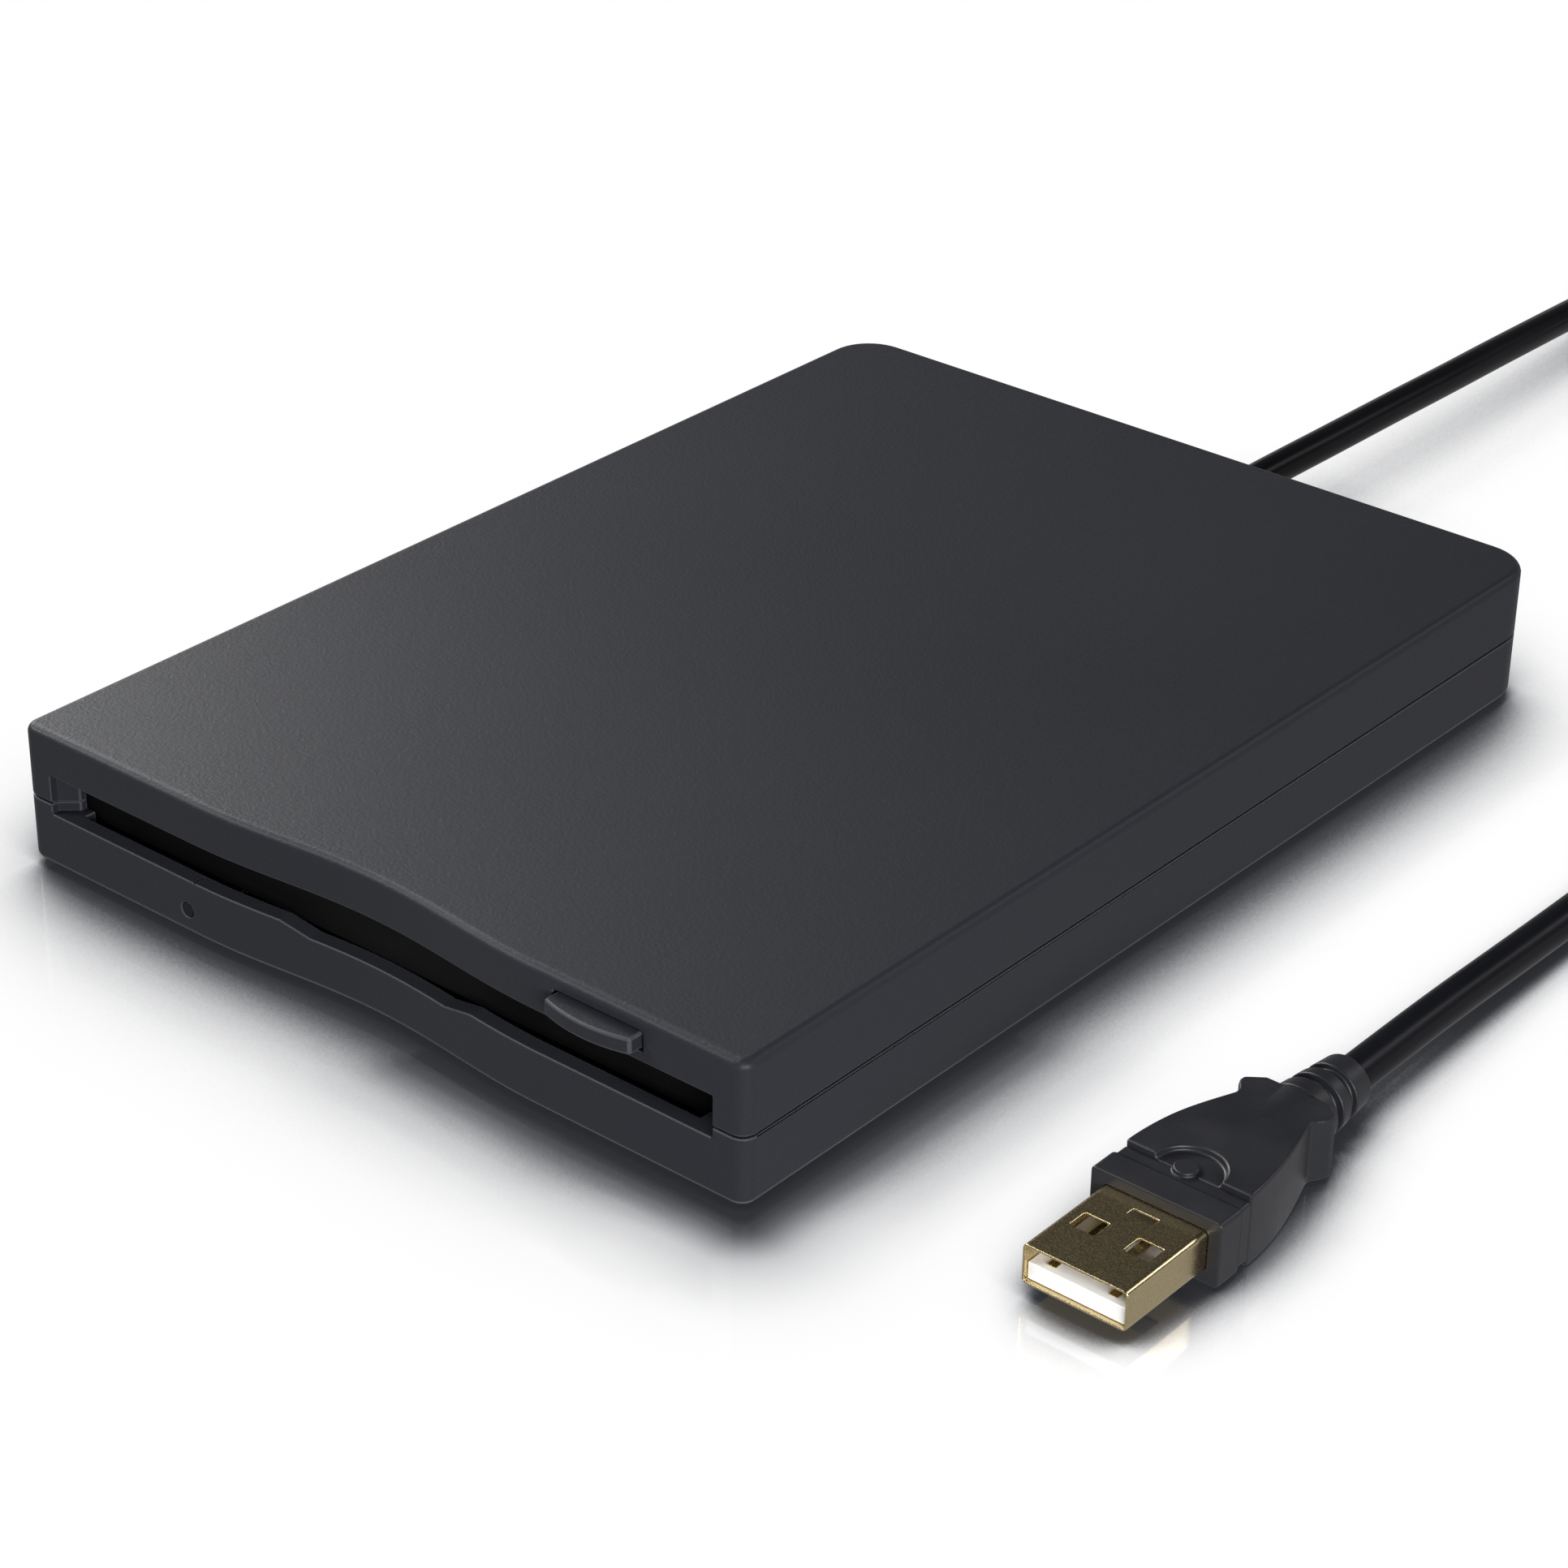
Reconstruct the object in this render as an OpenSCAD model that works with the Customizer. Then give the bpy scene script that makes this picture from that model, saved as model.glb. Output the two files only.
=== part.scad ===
// Slim external floppy disk drive for 3.5 inch disks, with its fixed data cable.
// Millimetres. X is the width, the disk goes in along +Y, Z is up from the table.

/* [Case] */
// Width of the case
case_w = 103; // [102.8:0.1:110]
// Depth of the case, front face to rear face
case_d = 145; // [145:0.5:152]
// Height of the case above its feet
case_h = 16.6; // [16.4:0.1:20]
// Height of the lower shell, up to the parting line
split_h = 7.85; // [7.6:0.05:8.1]
// Thickness of the side and rear walls
wall = 1.8; // [1.4:0.1:1.85]
// Thickness of the floor and of the roof
floor_t = 1.6; // [1.5:0.05:1.65]
// Radius of the two rear corners
rear_r = 6; // [4:0.5:8]
// Radius of the two front corners
front_r = 1.8; // [1:0.1:2.5]
// Radius along the top and bottom edges
edge_r = 1; // [0.4:0.1:1.2]
// How far the middle of the front face is set back
wave_depth = 1.7; // [0.4:0.1:1.8]
// Width of the set-back middle of the front face
wave_w = 49; // [40:1:52]
// Height of the rubber feet below the case
foot_h = 0.9; // [0.6:0.1:1.2]
// Diameter of a rubber foot
foot_d = 8; // [6:0.5:9]

/* [Disk mouth] */
// Width of the mouth at the front face
mouth_w = 94.8; // [93.6:0.1:95.6]
// Height of the mouth
mouth_h = 4.8; // [4.5:0.05:4.9]
// Height of the mouth's lower edge above the case bottom
mouth_z = 6.72; // [6.6:0.02:6.9]
// Width of the thumb recess along its floor
recess_w = 19.6; // [14:0.2:24]
// Depth of the thumb recess below the mouth
recess_h = 0.9; // [0.4:0.05:0.95]

/* [Disk] */
// Width of the disk that the holder takes
disk_w = 90; // [89.6:0.1:90.2]
// Thickness of the disk
disk_t = 3.3; // [3.1:0.05:3.4]
// How far the holder drops when a disk is pushed home
holder_drop = 2; // [1.6:0.05:2.05]

/* [Eject button] */
// Width of the eject button
button_w = 11.2; // [9:0.1:12]
// Height of the eject button
button_h = 1.9; // [1.5:0.05:2]
// Centre of the eject button, right of the middle
button_x = 32.7; // [31.6:0.1:33.6]
// How far the ends of the button stand out of the front face
button_out = 1.5; // [0.8:0.1:2]
// How much further the curved middle of the button stands out
button_bow = 0.9; // [0.4:0.1:1.2]
// Travel of the eject slider when a disk is loaded
eject_travel = 4.5; // [4:0.1:4.6]

/* [Indicator] */
// Diameter of the activity light
light_d = 1.7; // [1.4:0.1:2]
// Centre of the light, left of the middle
light_x = 26.2; // [20:0.2:30]
// Height of the light above the case bottom
light_z = 2.95; // [2.8:0.05:3]

/* [Drive motors] */
// Distance from the front face to the spindle
spindle_y = 52.5; // [52:0.1:53]
// Outer radius of the spindle rotor
rotor_r = 15.5; // [15.4:0.1:16]
// Diameter of the spindle shaft
spindle_d = 3.2; // [3:0.1:3.6]
// Lead of the head screw, twenty steps of one track each
screw_lead = 3.75; // [3.75:0.01:3.76]
// Diameter of the guide rod
rod_d = 2; // [1.8:0.1:2.2]

/* [Cable] */
// Diameter of the cable
cable_d = 4.2; // [4:0.1:4.4]
// Turns in the coil of spare cable
coil_turns = 2.5; // [2.5:0.01:2.51]
// Diameter of the coil at the middle of its turns
coil_d = 46; // [46:0.1:46.1]
// Length of the strain relief outside the case
boot_l = 7; // [6.9:0.1:7.1]

/* [Plug] */
// Width of the plug's metal shell
shell_w = 12; // [11.9:0.05:12.1]
// Height of the plug's metal shell
shell_h = 4.5; // [4.4:0.05:4.6]
// Length of metal shell in front of the collar
shell_l = 12.6; // [12:0.1:13]
// Width of the collar
collar_w = 15; // [14.6:0.1:15.2]
// Thickness of the plug's grip
grip_h = 8.2; // [7.8:0.1:8.2]

/* [Hidden] */

// Colours
case_color = [0.22, 0.225, 0.24];
black = [0.06, 0.06, 0.065];
steel = [0.72, 0.73, 0.75];
dark_steel = [0.5, 0.51, 0.53];
copper = [0.72, 0.4, 0.2];
board_green = [0.08, 0.3, 0.16];
nylon = [0.85, 0.84, 0.8];
gold = [0.86, 0.68, 0.3];

// Heights
case_z = foot_h;
floor_z = case_z + floor_t;
split_z = case_z + split_h;
top_z = case_z + case_h;
roof_z = top_z - floor_t;
mouth_z0 = case_z + mouth_z;
mouth_z1 = mouth_z0 + mouth_h;
board_z = floor_z + 0.6;
board_t = 0.6;
plate_z = board_z + board_t;
plate_t = 0.7;
deck_z = plate_z + plate_t;
holder_z0 = 7.35;
sheet_t = 0.5;
holder_room = 4.2;
holder_z1 = holder_z0 + holder_room + 2 * sheet_t;
slider_z = 13.5;
slider_t = 0.6;
cover_z = 14.9;
cover_t = 0.4;

// Plan sizes, measured back from the front face
half_w = case_w / 2;
inner_w = half_w - wall;
lip_t = 1.95;
front_y = -(case_d - button_out - button_bow) / 2;
flap_pin_y = 4.3;
flap_pin_z = 12.75;
flap_pin_r = 0.7;
flap_half = mouth_w / 2 - 1.1;
spring_x = -43.5;
chassis_half = disk_w / 2 + 2;
chassis_y0 = 8;
chassis_y1 = 129;
holder_half = disk_w / 2 + 0.3 + 0.6;
holder_y0 = 11.2;
holder_y1 = 100.1;
pin_z = 9.5;
pin_r = 0.8;
pin_ys = [26, 80];
slider_half = chassis_half + 0.95;
slider_y0 = 14.5;
slider_y1 = 92;
over_press = 0.3;
drop_rate = holder_drop / eject_travel;
latch_x = 37;
latch_y = 76;
latch_r = 28;
latch_rest = 192;
latch_turn = 50;
head_y = spindle_y + 39.5;
carriage_y0 = 117.4;
carriage_l = 8;
head_stroke = 14.8125;
rod_x = 11;
rod_z = 6.2;
arm_y = 123.5;
arm_z = 10.6;
arm_lift = 9.2;
screw_x = 20;
screw_z = 8.7;
screw_y0 = 103.2;
screw_y1 = 120.4;
follower_y = 118.3;
switch_y = 14;
usb_z = 6;
usb_y1 = case_d - wall - 4.2;
usb_y0 = usb_y1 - 8.6;
usb_half = 38;
rear_screw_y = case_d - 8;
rear_screw_x = half_w - 8.5;
boot_x = 3.8;
boot_z = 9.2;
fit = 0.05;

function wave(x) =
    abs(x) < wave_w / 2 ? wave_depth * (1 + cos(360 * x / wave_w)) / 2 : 0;

// Moves what is drawn back from the front face into the frame of the whole drive
module from_front() {
    translate([0, front_y, 0]) children();
}

// The region in front of the waved face, set back by inset
module ahead_of_face(inset) {
    steps = 28;
    far = 12;
    polygon(concat(
        [[-half_w - far, -far], [-half_w - far, inset]],
        [for (i = [0:steps]) let (x = -wave_w / 2 + wave_w * i / steps) [x, inset + wave(x)]],
        [[half_w + far, inset], [half_w + far, -far]]
    ));
}

// Outline of the case seen from above, drawn in by inset
module case_plan(inset) {
    difference() {
        union() {
            for (side = [-1, 1]) {
                translate([side * (half_w - rear_r), case_d - rear_r]) circle(r = rear_r - inset, $fn = 96);
                translate([side * (half_w - front_r), front_r]) circle(r = front_r - inset, $fn = 48);
            }
            translate([-half_w + inset, front_r])
                square([case_w - 2 * inset, case_d - rear_r - front_r]);
            translate([-half_w + rear_r, case_d - 2 * rear_r])
                square([case_w - 2 * rear_r, 2 * rear_r - inset]);
            translate([-half_w + front_r, inset])
                square([case_w - 2 * front_r, 2 * front_r]);
        }
        ahead_of_face(inset);
    }
}

// Outline of the hollow inside the walls
module hollow_plan() {
    inner_r = rear_r - wall;
    difference() {
        union() {
            for (side = [-1, 1])
                translate([side * (inner_w - inner_r), case_d - wall - inner_r])
                    circle(r = inner_r, $fn = 96);
            translate([-inner_w, 0]) square([2 * inner_w, case_d - wall - inner_r]);
            translate([-inner_w + inner_r, case_d - wall - 2 * inner_r])
                square([2 * (inner_w - inner_r), 2 * inner_r]);
        }
        ahead_of_face(lip_t);
    }
}

// What a rounding takes off a square edge whose arc is centred on the origin
module edge_profile() {
    difference() {
        square(edge_r + 1);
        circle(r = edge_r, $fn = 48);
    }
}

// Rounding of the side and rear edges at the top of a shell; up = -1 turns it over
module edge_rounding(z, up) {
    translate([0, 0, z]) scale([1, 1, up]) {
        for (side = [-1, 1]) {
            scale([side, 1, 1]) {
                translate([half_w - edge_r, case_d - rear_r, -edge_r])
                    rotate([90, 0, 0]) linear_extrude(case_d) edge_profile();
                translate([half_w - rear_r, case_d - rear_r, -edge_r])
                    rotate_extrude(angle = 90, $fn = 96) translate([rear_r - edge_r, 0]) edge_profile();
            }
        }
        translate([-half_w + rear_r, case_d - edge_r, -edge_r])
            rotate([90, 0, 90]) linear_extrude(case_w - 2 * rear_r) edge_profile();
    }
}

// The disk mouth: full width at the face, drawn in to the disk's width behind it
module mouth_cut() {
    throat = disk_w / 2 + 0.6;
    translate([0, 0, mouth_z0]) linear_extrude(mouth_h)
        polygon([
            [-mouth_w / 2, -3], [-mouth_w / 2, 1], [-throat, 2.6], [-throat, 8],
            [throat, 8], [throat, 2.6], [mouth_w / 2, 1], [mouth_w / 2, -3]
        ]);
}

// Thumb recess in the lower edge of the mouth
module recess_cut() {
    ramp = 4;
    recess_x = 1;
    translate([recess_x, 6, 0]) rotate([90, 0, 0]) linear_extrude(9)
        polygon([
            [-recess_w / 2 - ramp, mouth_z0 + 1], [-recess_w / 2 - ramp, mouth_z0],
            [-recess_w / 2, mouth_z0 - recess_h], [recess_w / 2, mouth_z0 - recess_h],
            [recess_w / 2 + ramp, mouth_z0], [recess_w / 2 + ramp, mouth_z0 + 1]
        ]);
}

// Blocks beside the mouth that fill the space between wall and throat
module cheeks(z0, z1) {
    cheek_in = disk_w / 2 - 0.5;
    for (side = [-1, 1])
        translate([side * (cheek_in + inner_w) / 2 - (inner_w - cheek_in + 0.4) / 2, lip_t - 0.2, z0])
            cube([inner_w - cheek_in + 0.4, 1.75, z1 - z0]);
}

module post(x, y, z0, z1, r) {
    translate([x, y, z0]) cylinder(h = z1 - z0, r = r, $fn = 48);
}

// Upper half of the case: roof, walls, mouth, button notch, flap ears, ribs and screw posts
module upper_shell() {
    notch_h = button_h + 0.5;
    notch_w = button_w + 0.6;
    gap_line = 0.3;
    color(case_color) from_front() difference() {
        union() {
            difference() {
                translate([0, 0, split_z]) linear_extrude(top_z - split_z) case_plan(0);
                translate([0, 0, split_z - 1]) linear_extrude(roof_z - split_z + 1) hollow_plan();
            }
            cheeks(split_z, roof_z);
            for (side = [-1, 1]) {
                translate([side * (flap_half + 1.2) - 0.8, lip_t, 11.4]) cube([1.6, 4.1, roof_z - 11.4]);
                post(side * rear_screw_x, rear_screw_y, split_z, roof_z, 2.7);
            }
            for (y = [22, 58, 112])
                translate([-inner_w + 4, y, roof_z - 0.45]) cube([2 * inner_w - 8, 1.2, 0.5]);
            for (x = [-30, 24])
                translate([x, 16, roof_z - 0.45]) cube([1.2, case_d - 26, 0.5]);
        }
        mouth_cut();
        translate([button_x - notch_w / 2, -3, roof_z - notch_h]) cube([notch_w, 8.5, notch_h]);
        edge_rounding(top_z, 1);
        translate([0, 0, split_z - 1]) linear_extrude(gap_line + 1) difference() {
            translate([-half_w - 1, -2]) square([case_w + 2, case_d + 4]);
            case_plan(gap_line + 0.05);
        }
        translate([boot_x, case_d + 1, boot_z]) rotate([90, 0, 0]) cylinder(h = wall + 2, r = 4.1, $fn = 48);
        for (side = [-1, 1]) {
            translate([side * (flap_half + 1.2) - 1, flap_pin_y, flap_pin_z])
                rotate([0, 90, 0]) cylinder(h = 2, r = flap_pin_r + fit, $fn = 32);
            post(side * rear_screw_x, rear_screw_y, split_z - 1, roof_z - 1, 1);
        }
    }
}

chassis_feet = [[-43, 13], [43, 13], [-43, 126], [43, 126]];
foot_spots = [[-42, 13], [42, 13], [-42, 112], [42, 112]];
usb_posts = [[-34, usb_y1 - 2.6], [34, usb_y1 - 2.6]];

// Lower half of the case: floor, walls, thumb recess, posts, foot pockets
module lower_shell() {
    color(case_color) from_front() difference() {
        union() {
            difference() {
                translate([0, 0, case_z]) linear_extrude(split_z - case_z) case_plan(0);
                translate([0, 0, floor_z]) linear_extrude(split_z) hollow_plan();
            }
            cheeks(floor_z - 0.1, split_z);
            for (p = chassis_feet)
                post(p[0], p[1], floor_z - 0.1, plate_z, 2.6);
            for (p = usb_posts)
                post(p[0], p[1], floor_z - 0.1, usb_z, 2.4);
            for (side = [-1, 1])
                post(side * rear_screw_x, rear_screw_y, floor_z - 0.1, split_z, 2.7);
        }
        mouth_cut();
        recess_cut();
        edge_rounding(case_z, -1);
        // witness line of the mould across the sill of the mouth
        translate([-25.1, -1, mouth_z0 - 0.12]) cube([0.2, 2.6, 1]);
        translate([-light_x, -1, case_z + light_z])
            rotate([-90, 0, 0]) cylinder(h = 5, r = light_d / 2 + fit, $fn = 32);
        translate([boot_x, case_d + 1, boot_z]) rotate([90, 0, 0]) cylinder(h = wall + 2, r = 4.1, $fn = 48);
        for (p = foot_spots)
            post(p[0], p[1], case_z - 1, case_z + 0.5, foot_d / 2 + fit);
        for (p = chassis_feet)
            post(p[0], p[1], floor_z - 0.7, plate_z + 1, 0.95);
        for (p = usb_posts)
            post(p[0], p[1], floor_z, usb_z + 1, 0.95);
        for (side = [-1, 1]) {
            post(side * rear_screw_x, rear_screw_y, case_z - 1, case_z + 1.3, 2.15);
            post(side * rear_screw_x, rear_screw_y, case_z, split_z + 1, 1.15);
        }
    }
}

// Flap that closes the mouth; its end stubs turn in the shell's ears
module dust_flap() {
    flap_t = 0.8;
    flap_low = 6.4;
    stub_l = 9.6;
    color(black) from_front() {
        difference() {
            union() {
                translate([-flap_half, flap_pin_y - flap_t / 2, flap_low])
                    cube([2 * flap_half, flap_t, flap_pin_z - flap_low]);
                translate([-flap_half, flap_pin_y, flap_pin_z])
                    rotate([0, 90, 0]) cylinder(h = 2 * flap_half, r = flap_t / 2, $fn = 32);
            }
            translate([spring_x - 0.5, flap_pin_y - 2, flap_pin_z - 1.5]) cube([2.4, 4, 3]);
        }
        for (side = [-1, 1])
            translate([side * (flap_half + 1.6 - stub_l / 2) - stub_l / 2, flap_pin_y, flap_pin_z])
                rotate([0, 90, 0]) cylinder(h = stub_l, r = flap_pin_r, $fn = 32);
    }
}

// A wire wound about Z as real turns; it starts at angle zero on the base plane
module winding(turns, r, wire, pitch) {
    per_turn = 12;
    tube([for (i = [0:turns * per_turn])
        let (a = 360 * i / per_turn) [r * cos(a), r * sin(a), pitch * i / per_turn]], wire / 2, 6);
}

// Torsion spring of the flap, with a leg that bears on the roof
module flap_spring() {
    wire = 0.3;
    turns = 4.25;
    pitch = 0.34;
    r = flap_pin_r + 0.3;
    color(steel) from_front() translate([spring_x, flap_pin_y, flap_pin_z]) {
        rotate([0, 90, 0]) winding(turns, r, wire, pitch);
        translate([turns * pitch, r, -0.1])
            cylinder(h = roof_z - flap_pin_z + 0.1, r = wire / 2, $fn = 16);
    }
}

// Nose of the eject button in plan: straight sides and a bowed front
module button_plan(w) {
    bow_r = (w * w / 4 + button_bow * button_bow) / (2 * button_bow);
    intersection() {
        translate([-w / 2, -button_out - button_bow - 0.1]) square([w, 6 + button_out + button_bow + 0.1]);
        translate([0, bow_r - button_out - button_bow]) circle(r = bow_r, $fn = 192);
    }
}

module eject_button() {
    nose_z = roof_z - 0.25 - button_h;
    color(case_color) from_front() translate([button_x, 0, 0]) {
        translate([0, 0, nose_z]) linear_extrude(button_h) button_plan(button_w);
        translate([-3, 5.5, slider_z + slider_t]) cube([6, 4.5, 1.1]);
    }
}

module activity_light() {
    color([0.25, 0.27, 0.26]) from_front() translate([-light_x, 0.05, case_z + light_z])
        rotate([-90, 0, 0]) cylinder(h = 7, r = light_d / 2, $fn = 32);
}

module rubber_feet() {
    color([0.09, 0.09, 0.09]) from_front()
        for (p = foot_spots)
            post(p[0], p[1], 0, case_z + 0.5, foot_d / 2);
}

// Screws that close the case, driven from below into the upper posts
module case_screws() {
    color(dark_steel) from_front()
        for (side = [-1, 1]) difference() {
            union() {
                post(side * rear_screw_x, rear_screw_y, case_z + 0.2, case_z + 1.3, 2);
                post(side * rear_screw_x, rear_screw_y, case_z + 1.2, roof_z - 2, 0.95);
            }
            for (turn = [0, 90])
                translate([side * rear_screw_x, rear_screw_y, case_z])
                    rotate(turn) cube([2.2, 0.5, 1.4], center = true);
        }
}

// A screw whose head seats at height z
module small_screw(x, y, z, shank) {
    difference() {
        union() {
            post(x, y, z, z + 0.75, 1.6);
            post(x, y, z - shank, z + 0.1, 0.9);
        }
        for (turn = [0, 90])
            translate([x, y, z + 0.75]) rotate(turn) cube([1.9, 0.4, 0.7], center = true);
    }
}

module chassis_screws() {
    color(steel) from_front()
        for (p = chassis_feet)
            small_screw(p[0], p[1], deck_z, deck_z - floor_z + 0.6);
}

// A slot with round ends from one point to another, in two dimensions
module slot_2d(a, b, r) {
    run = norm(b - a);
    translate(a) circle(r = r, $fn = 32);
    translate(b) circle(r = r, $fn = 32);
    translate(a) rotate(atan2(b[1] - a[1], b[0] - a[0])) translate([0, -r]) square([run, 2 * r]);
}

pin_gap = 0.15;
spring_line = 43;

// Stamped steel base: deck, side walls with upright pin slots, rod and motor brackets
module chassis_frame() {
    side_t = 0.6;
    color(steel) from_front() difference() {
        union() {
            translate([-chassis_half, chassis_y0, plate_z])
                cube([2 * chassis_half, chassis_y1 - chassis_y0, plate_t]);
            for (side = [-1, 1]) {
                translate([side * (chassis_half - side_t / 2) - side_t / 2, 17, plate_z])
                    cube([side_t, 81, slider_z - plate_z]);
                translate([side * (chassis_half - side_t / 2) - side_t / 2, 99, plate_z])
                    cube([side_t, chassis_y1 - 99, cover_z - plate_z]);
                // lugs at the front that carry the cover
                translate([side * (chassis_half - 0.8) - 0.8, 17, slider_z - 0.6])
                    cube([1.6, 0.6, cover_z - slider_z + 0.6]);
                // brackets at both ends of each guide rod
                for (y = [101, 127])
                    translate([side * rod_x - 2.4, y, plate_z]) cube([4.8, 1.1, rod_z + 2.2 - plate_z]);
            }
            translate([screw_x - 6, 119.4, plate_z]) cube([12, 0.8, 9.4]);
        }
        translate([0, spindle_y, plate_z - 1]) cylinder(h = 3, r = rotor_r + 1.2, $fn = 96);
        // windows for the main board's parts, the lower head and the lamp
        translate([-44, 44, plate_z - 1]) cube([24, 62, 3]);
        translate([-5, 72, plate_z - 1]) cube([10, 26, 3]);
        translate([-light_x - 1.6, chassis_y0 - 1, plate_z - 1]) cube([3.2, 3, 3]);
        for (x = switch_xs)
            translate([x - 2.6, switch_y - 2.6, plate_z - 1]) cube([5.2, 5.2, 3]);
        for (p = chassis_feet)
            post(p[0], p[1], plate_z - 1, deck_z + 1, 1.1);
        for (y = pin_ys)
            translate([0, y, 0]) rotate([90, 0, 90]) translate([0, 0, -chassis_half - 1])
                linear_extrude(2 * chassis_half + 2)
                    slot_2d([0, pin_z - holder_drop], [0, pin_z + over_press * drop_rate], pin_r + pin_gap);
        for (side = [-1, 1])
            translate([side * rod_x, 100, rod_z]) rotate([-90, 0, 0])
                cylinder(h = 30, r = rod_d / 2 + 0.02, $fn = 32);
        translate([screw_x, 118, screw_z]) rotate([-90, 0, 0]) cylinder(h = 3, r = 2.2, $fn = 32);
    }
}

// Sheet cover over the mechanism, with a window above the head arm
module drive_cover() {
    color(steel) from_front() difference() {
        union() {
            translate([-chassis_half, 16.5, cover_z]) cube([2 * chassis_half, chassis_y1 - 16.5, cover_t]);
            // lugs that the slider springs hook into
            for (side = [-1, 1])
                translate([side * spring_line - 1.6, 30, slider_z - 0.5])
                    cube([3.2, 0.6, cover_z - slider_z + 0.6]);
        }
        translate([-8, 70, cover_z - 1]) cube([16, 42, 3]);
        translate([-14, 30, cover_z - 1]) cube([28, 22, 3]);
        for (side = [-1, 1])
            translate([side * spring_line, 29, slider_z + slider_t / 2]) rotate([-90, 0, 0])
                cylinder(h = 3, r = 0.85, $fn = 32);
    }
}

// Tray that the disk slides into; four pins on its sides hang it in the slots
module disk_holder() {
    side_t = 0.6;
    lip_w = 4;
    color(steel) from_front() difference() {
        union() {
            translate([-holder_half, holder_y0, holder_z1 - sheet_t])
                cube([2 * holder_half, holder_y1 - holder_y0, sheet_t]);
            for (side = [-1, 1]) {
                translate([side * (holder_half - side_t / 2) - side_t / 2, holder_y0, holder_z0])
                    cube([side_t, holder_y1 - holder_y0, holder_z1 - holder_z0]);
                translate([side * (holder_half - lip_w / 2) - lip_w / 2, holder_y0, holder_z0])
                    cube([lip_w, holder_y1 - holder_y0, sheet_t]);
                translate([side * 30 - 4, holder_y1 - 0.5, holder_z0]) cube([8, 0.5, holder_z1 - holder_z0]);
                for (y = pin_ys)
                    translate([side * (holder_half - 0.3), y, pin_z])
                        rotate([0, side * 90, 0]) cylinder(h = 48.3 - holder_half + 0.3, r = pin_r, $fn = 32);
            }
        }
        translate([-9, 64, holder_z1 - 1]) cube([18, 40, 2]);
        translate([latch_x, latch_y, holder_z1 - 1]) linear_extrude(2) intersection() {
            difference() {
                circle(r = latch_r + 1.6, $fn = 128);
                circle(r = latch_r - 1.6, $fn = 128);
            }
            rotate(latch_rest - latch_turn - 5) square(60);
        }
    }
}

// Slider over the holder: the button pushes it, and its sloping slots lift the pins
module eject_slider() {
    flange_t = 0.6;
    color(dark_steel) from_front() difference() {
        union() {
            translate([-slider_half, slider_y0, slider_z])
                cube([2 * slider_half, slider_y1 - slider_y0, slider_t]);
            translate([button_x - 3.5, 7.5, slider_z]) cube([7, slider_y0 - 7.4, slider_t]);
            for (side = [-1, 1])
                translate([side * (slider_half - flange_t / 2) - flange_t / 2, slider_y0, 5.4])
                    cube([flange_t, slider_y1 - slider_y0, slider_z + slider_t - 5.4]);
        }
        translate([-16, 54, slider_z - 1]) cube([32, 60, 3]);
        translate([-22, 22, slider_z - 1]) cube([44, 24, 3]);
        // clearance for the latch post and its spring over the whole travel
        translate([latch_x, latch_y, slider_z - 1]) linear_extrude(3)
            slot_2d([0, -over_press], [0, eject_travel], 3.2);
        for (side = [-1, 1]) {
            // windows that clear the spring lugs, and the lugs under the cover
            translate([side * spring_line - 2.4, 27, slider_z - 1]) cube([4.8, 25, 3]);
            translate([side * 46.1 - 1.05, slider_y0 + 1, slider_z - 1]) cube([2.1, 8, 3]);
        }
        for (y = pin_ys)
            translate([0, y, 0]) rotate([90, 0, 90]) translate([0, 0, -slider_half - 1])
                linear_extrude(2 * slider_half + 2)
                    slot_2d([-over_press, pin_z + over_press * drop_rate],
                        [eject_travel, pin_z - holder_drop], pin_r + pin_gap);
    }
}

// Pair of tension springs that draw the slider forwards
module slider_springs() {
    wire = 0.26;
    coil_r = 0.52;
    turns = 12;
    hook_l = 3;
    y0 = 30.1;
    y1 = 52;
    color(steel) from_front()
        for (side = [-1, 1])
            translate([side * spring_line, y0, slider_z + slider_t / 2]) rotate([-90, 0, 0]) {
                cylinder(h = hook_l, r = 0.2, $fn = 24);
                translate([0, 0, hook_l - 0.4]) cylinder(h = 0.5, r = 0.72, $fn = 24);
                translate([0, 0, hook_l]) winding(turns, coil_r, wire, (y1 - y0 - 2 * hook_l) / turns);
                translate([0, 0, y1 - y0 - hook_l - 0.1]) cylinder(h = 0.5, r = 0.72, $fn = 24);
                translate([0, 0, y1 - y0 - hook_l + 0.1]) cylinder(h = hook_l - 0.1, r = 0.2, $fn = 24);
            }
}

// Lever that slides the disk's shutter open and holds the slider back until then
module latch_lever() {
    lever_z = 12.8;
    lever_t = 0.55;
    color(nylon) from_front() translate([latch_x, latch_y, 0]) rotate(latch_rest) {
        difference() {
            translate([0, 0, lever_z]) linear_extrude(lever_t) union() {
                circle(r = 3.4, $fn = 48);
                polygon([[0, -3.4], [latch_r, -1.6], [latch_r, 1.6], [0, 3.4]]);
                translate([latch_r, 0]) circle(r = 1.6, $fn = 32);
            }
            translate([0, 0, lever_z - 1]) cylinder(h = 3, r = 1.5 + fit, $fn = 48);
        }
        translate([latch_r, 0, 9]) cylinder(h = lever_z - 9 + 0.1, r = 1, $fn = 32);
    }
}

// Post riveted to the cover; the lever turns on it
module latch_post() {
    color(steel) from_front() translate([latch_x, latch_y, 0]) {
        translate([0, 0, 12.74]) cylinder(h = cover_z - 12.74, r = 1.5, $fn = 48);
    }
}

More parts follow.
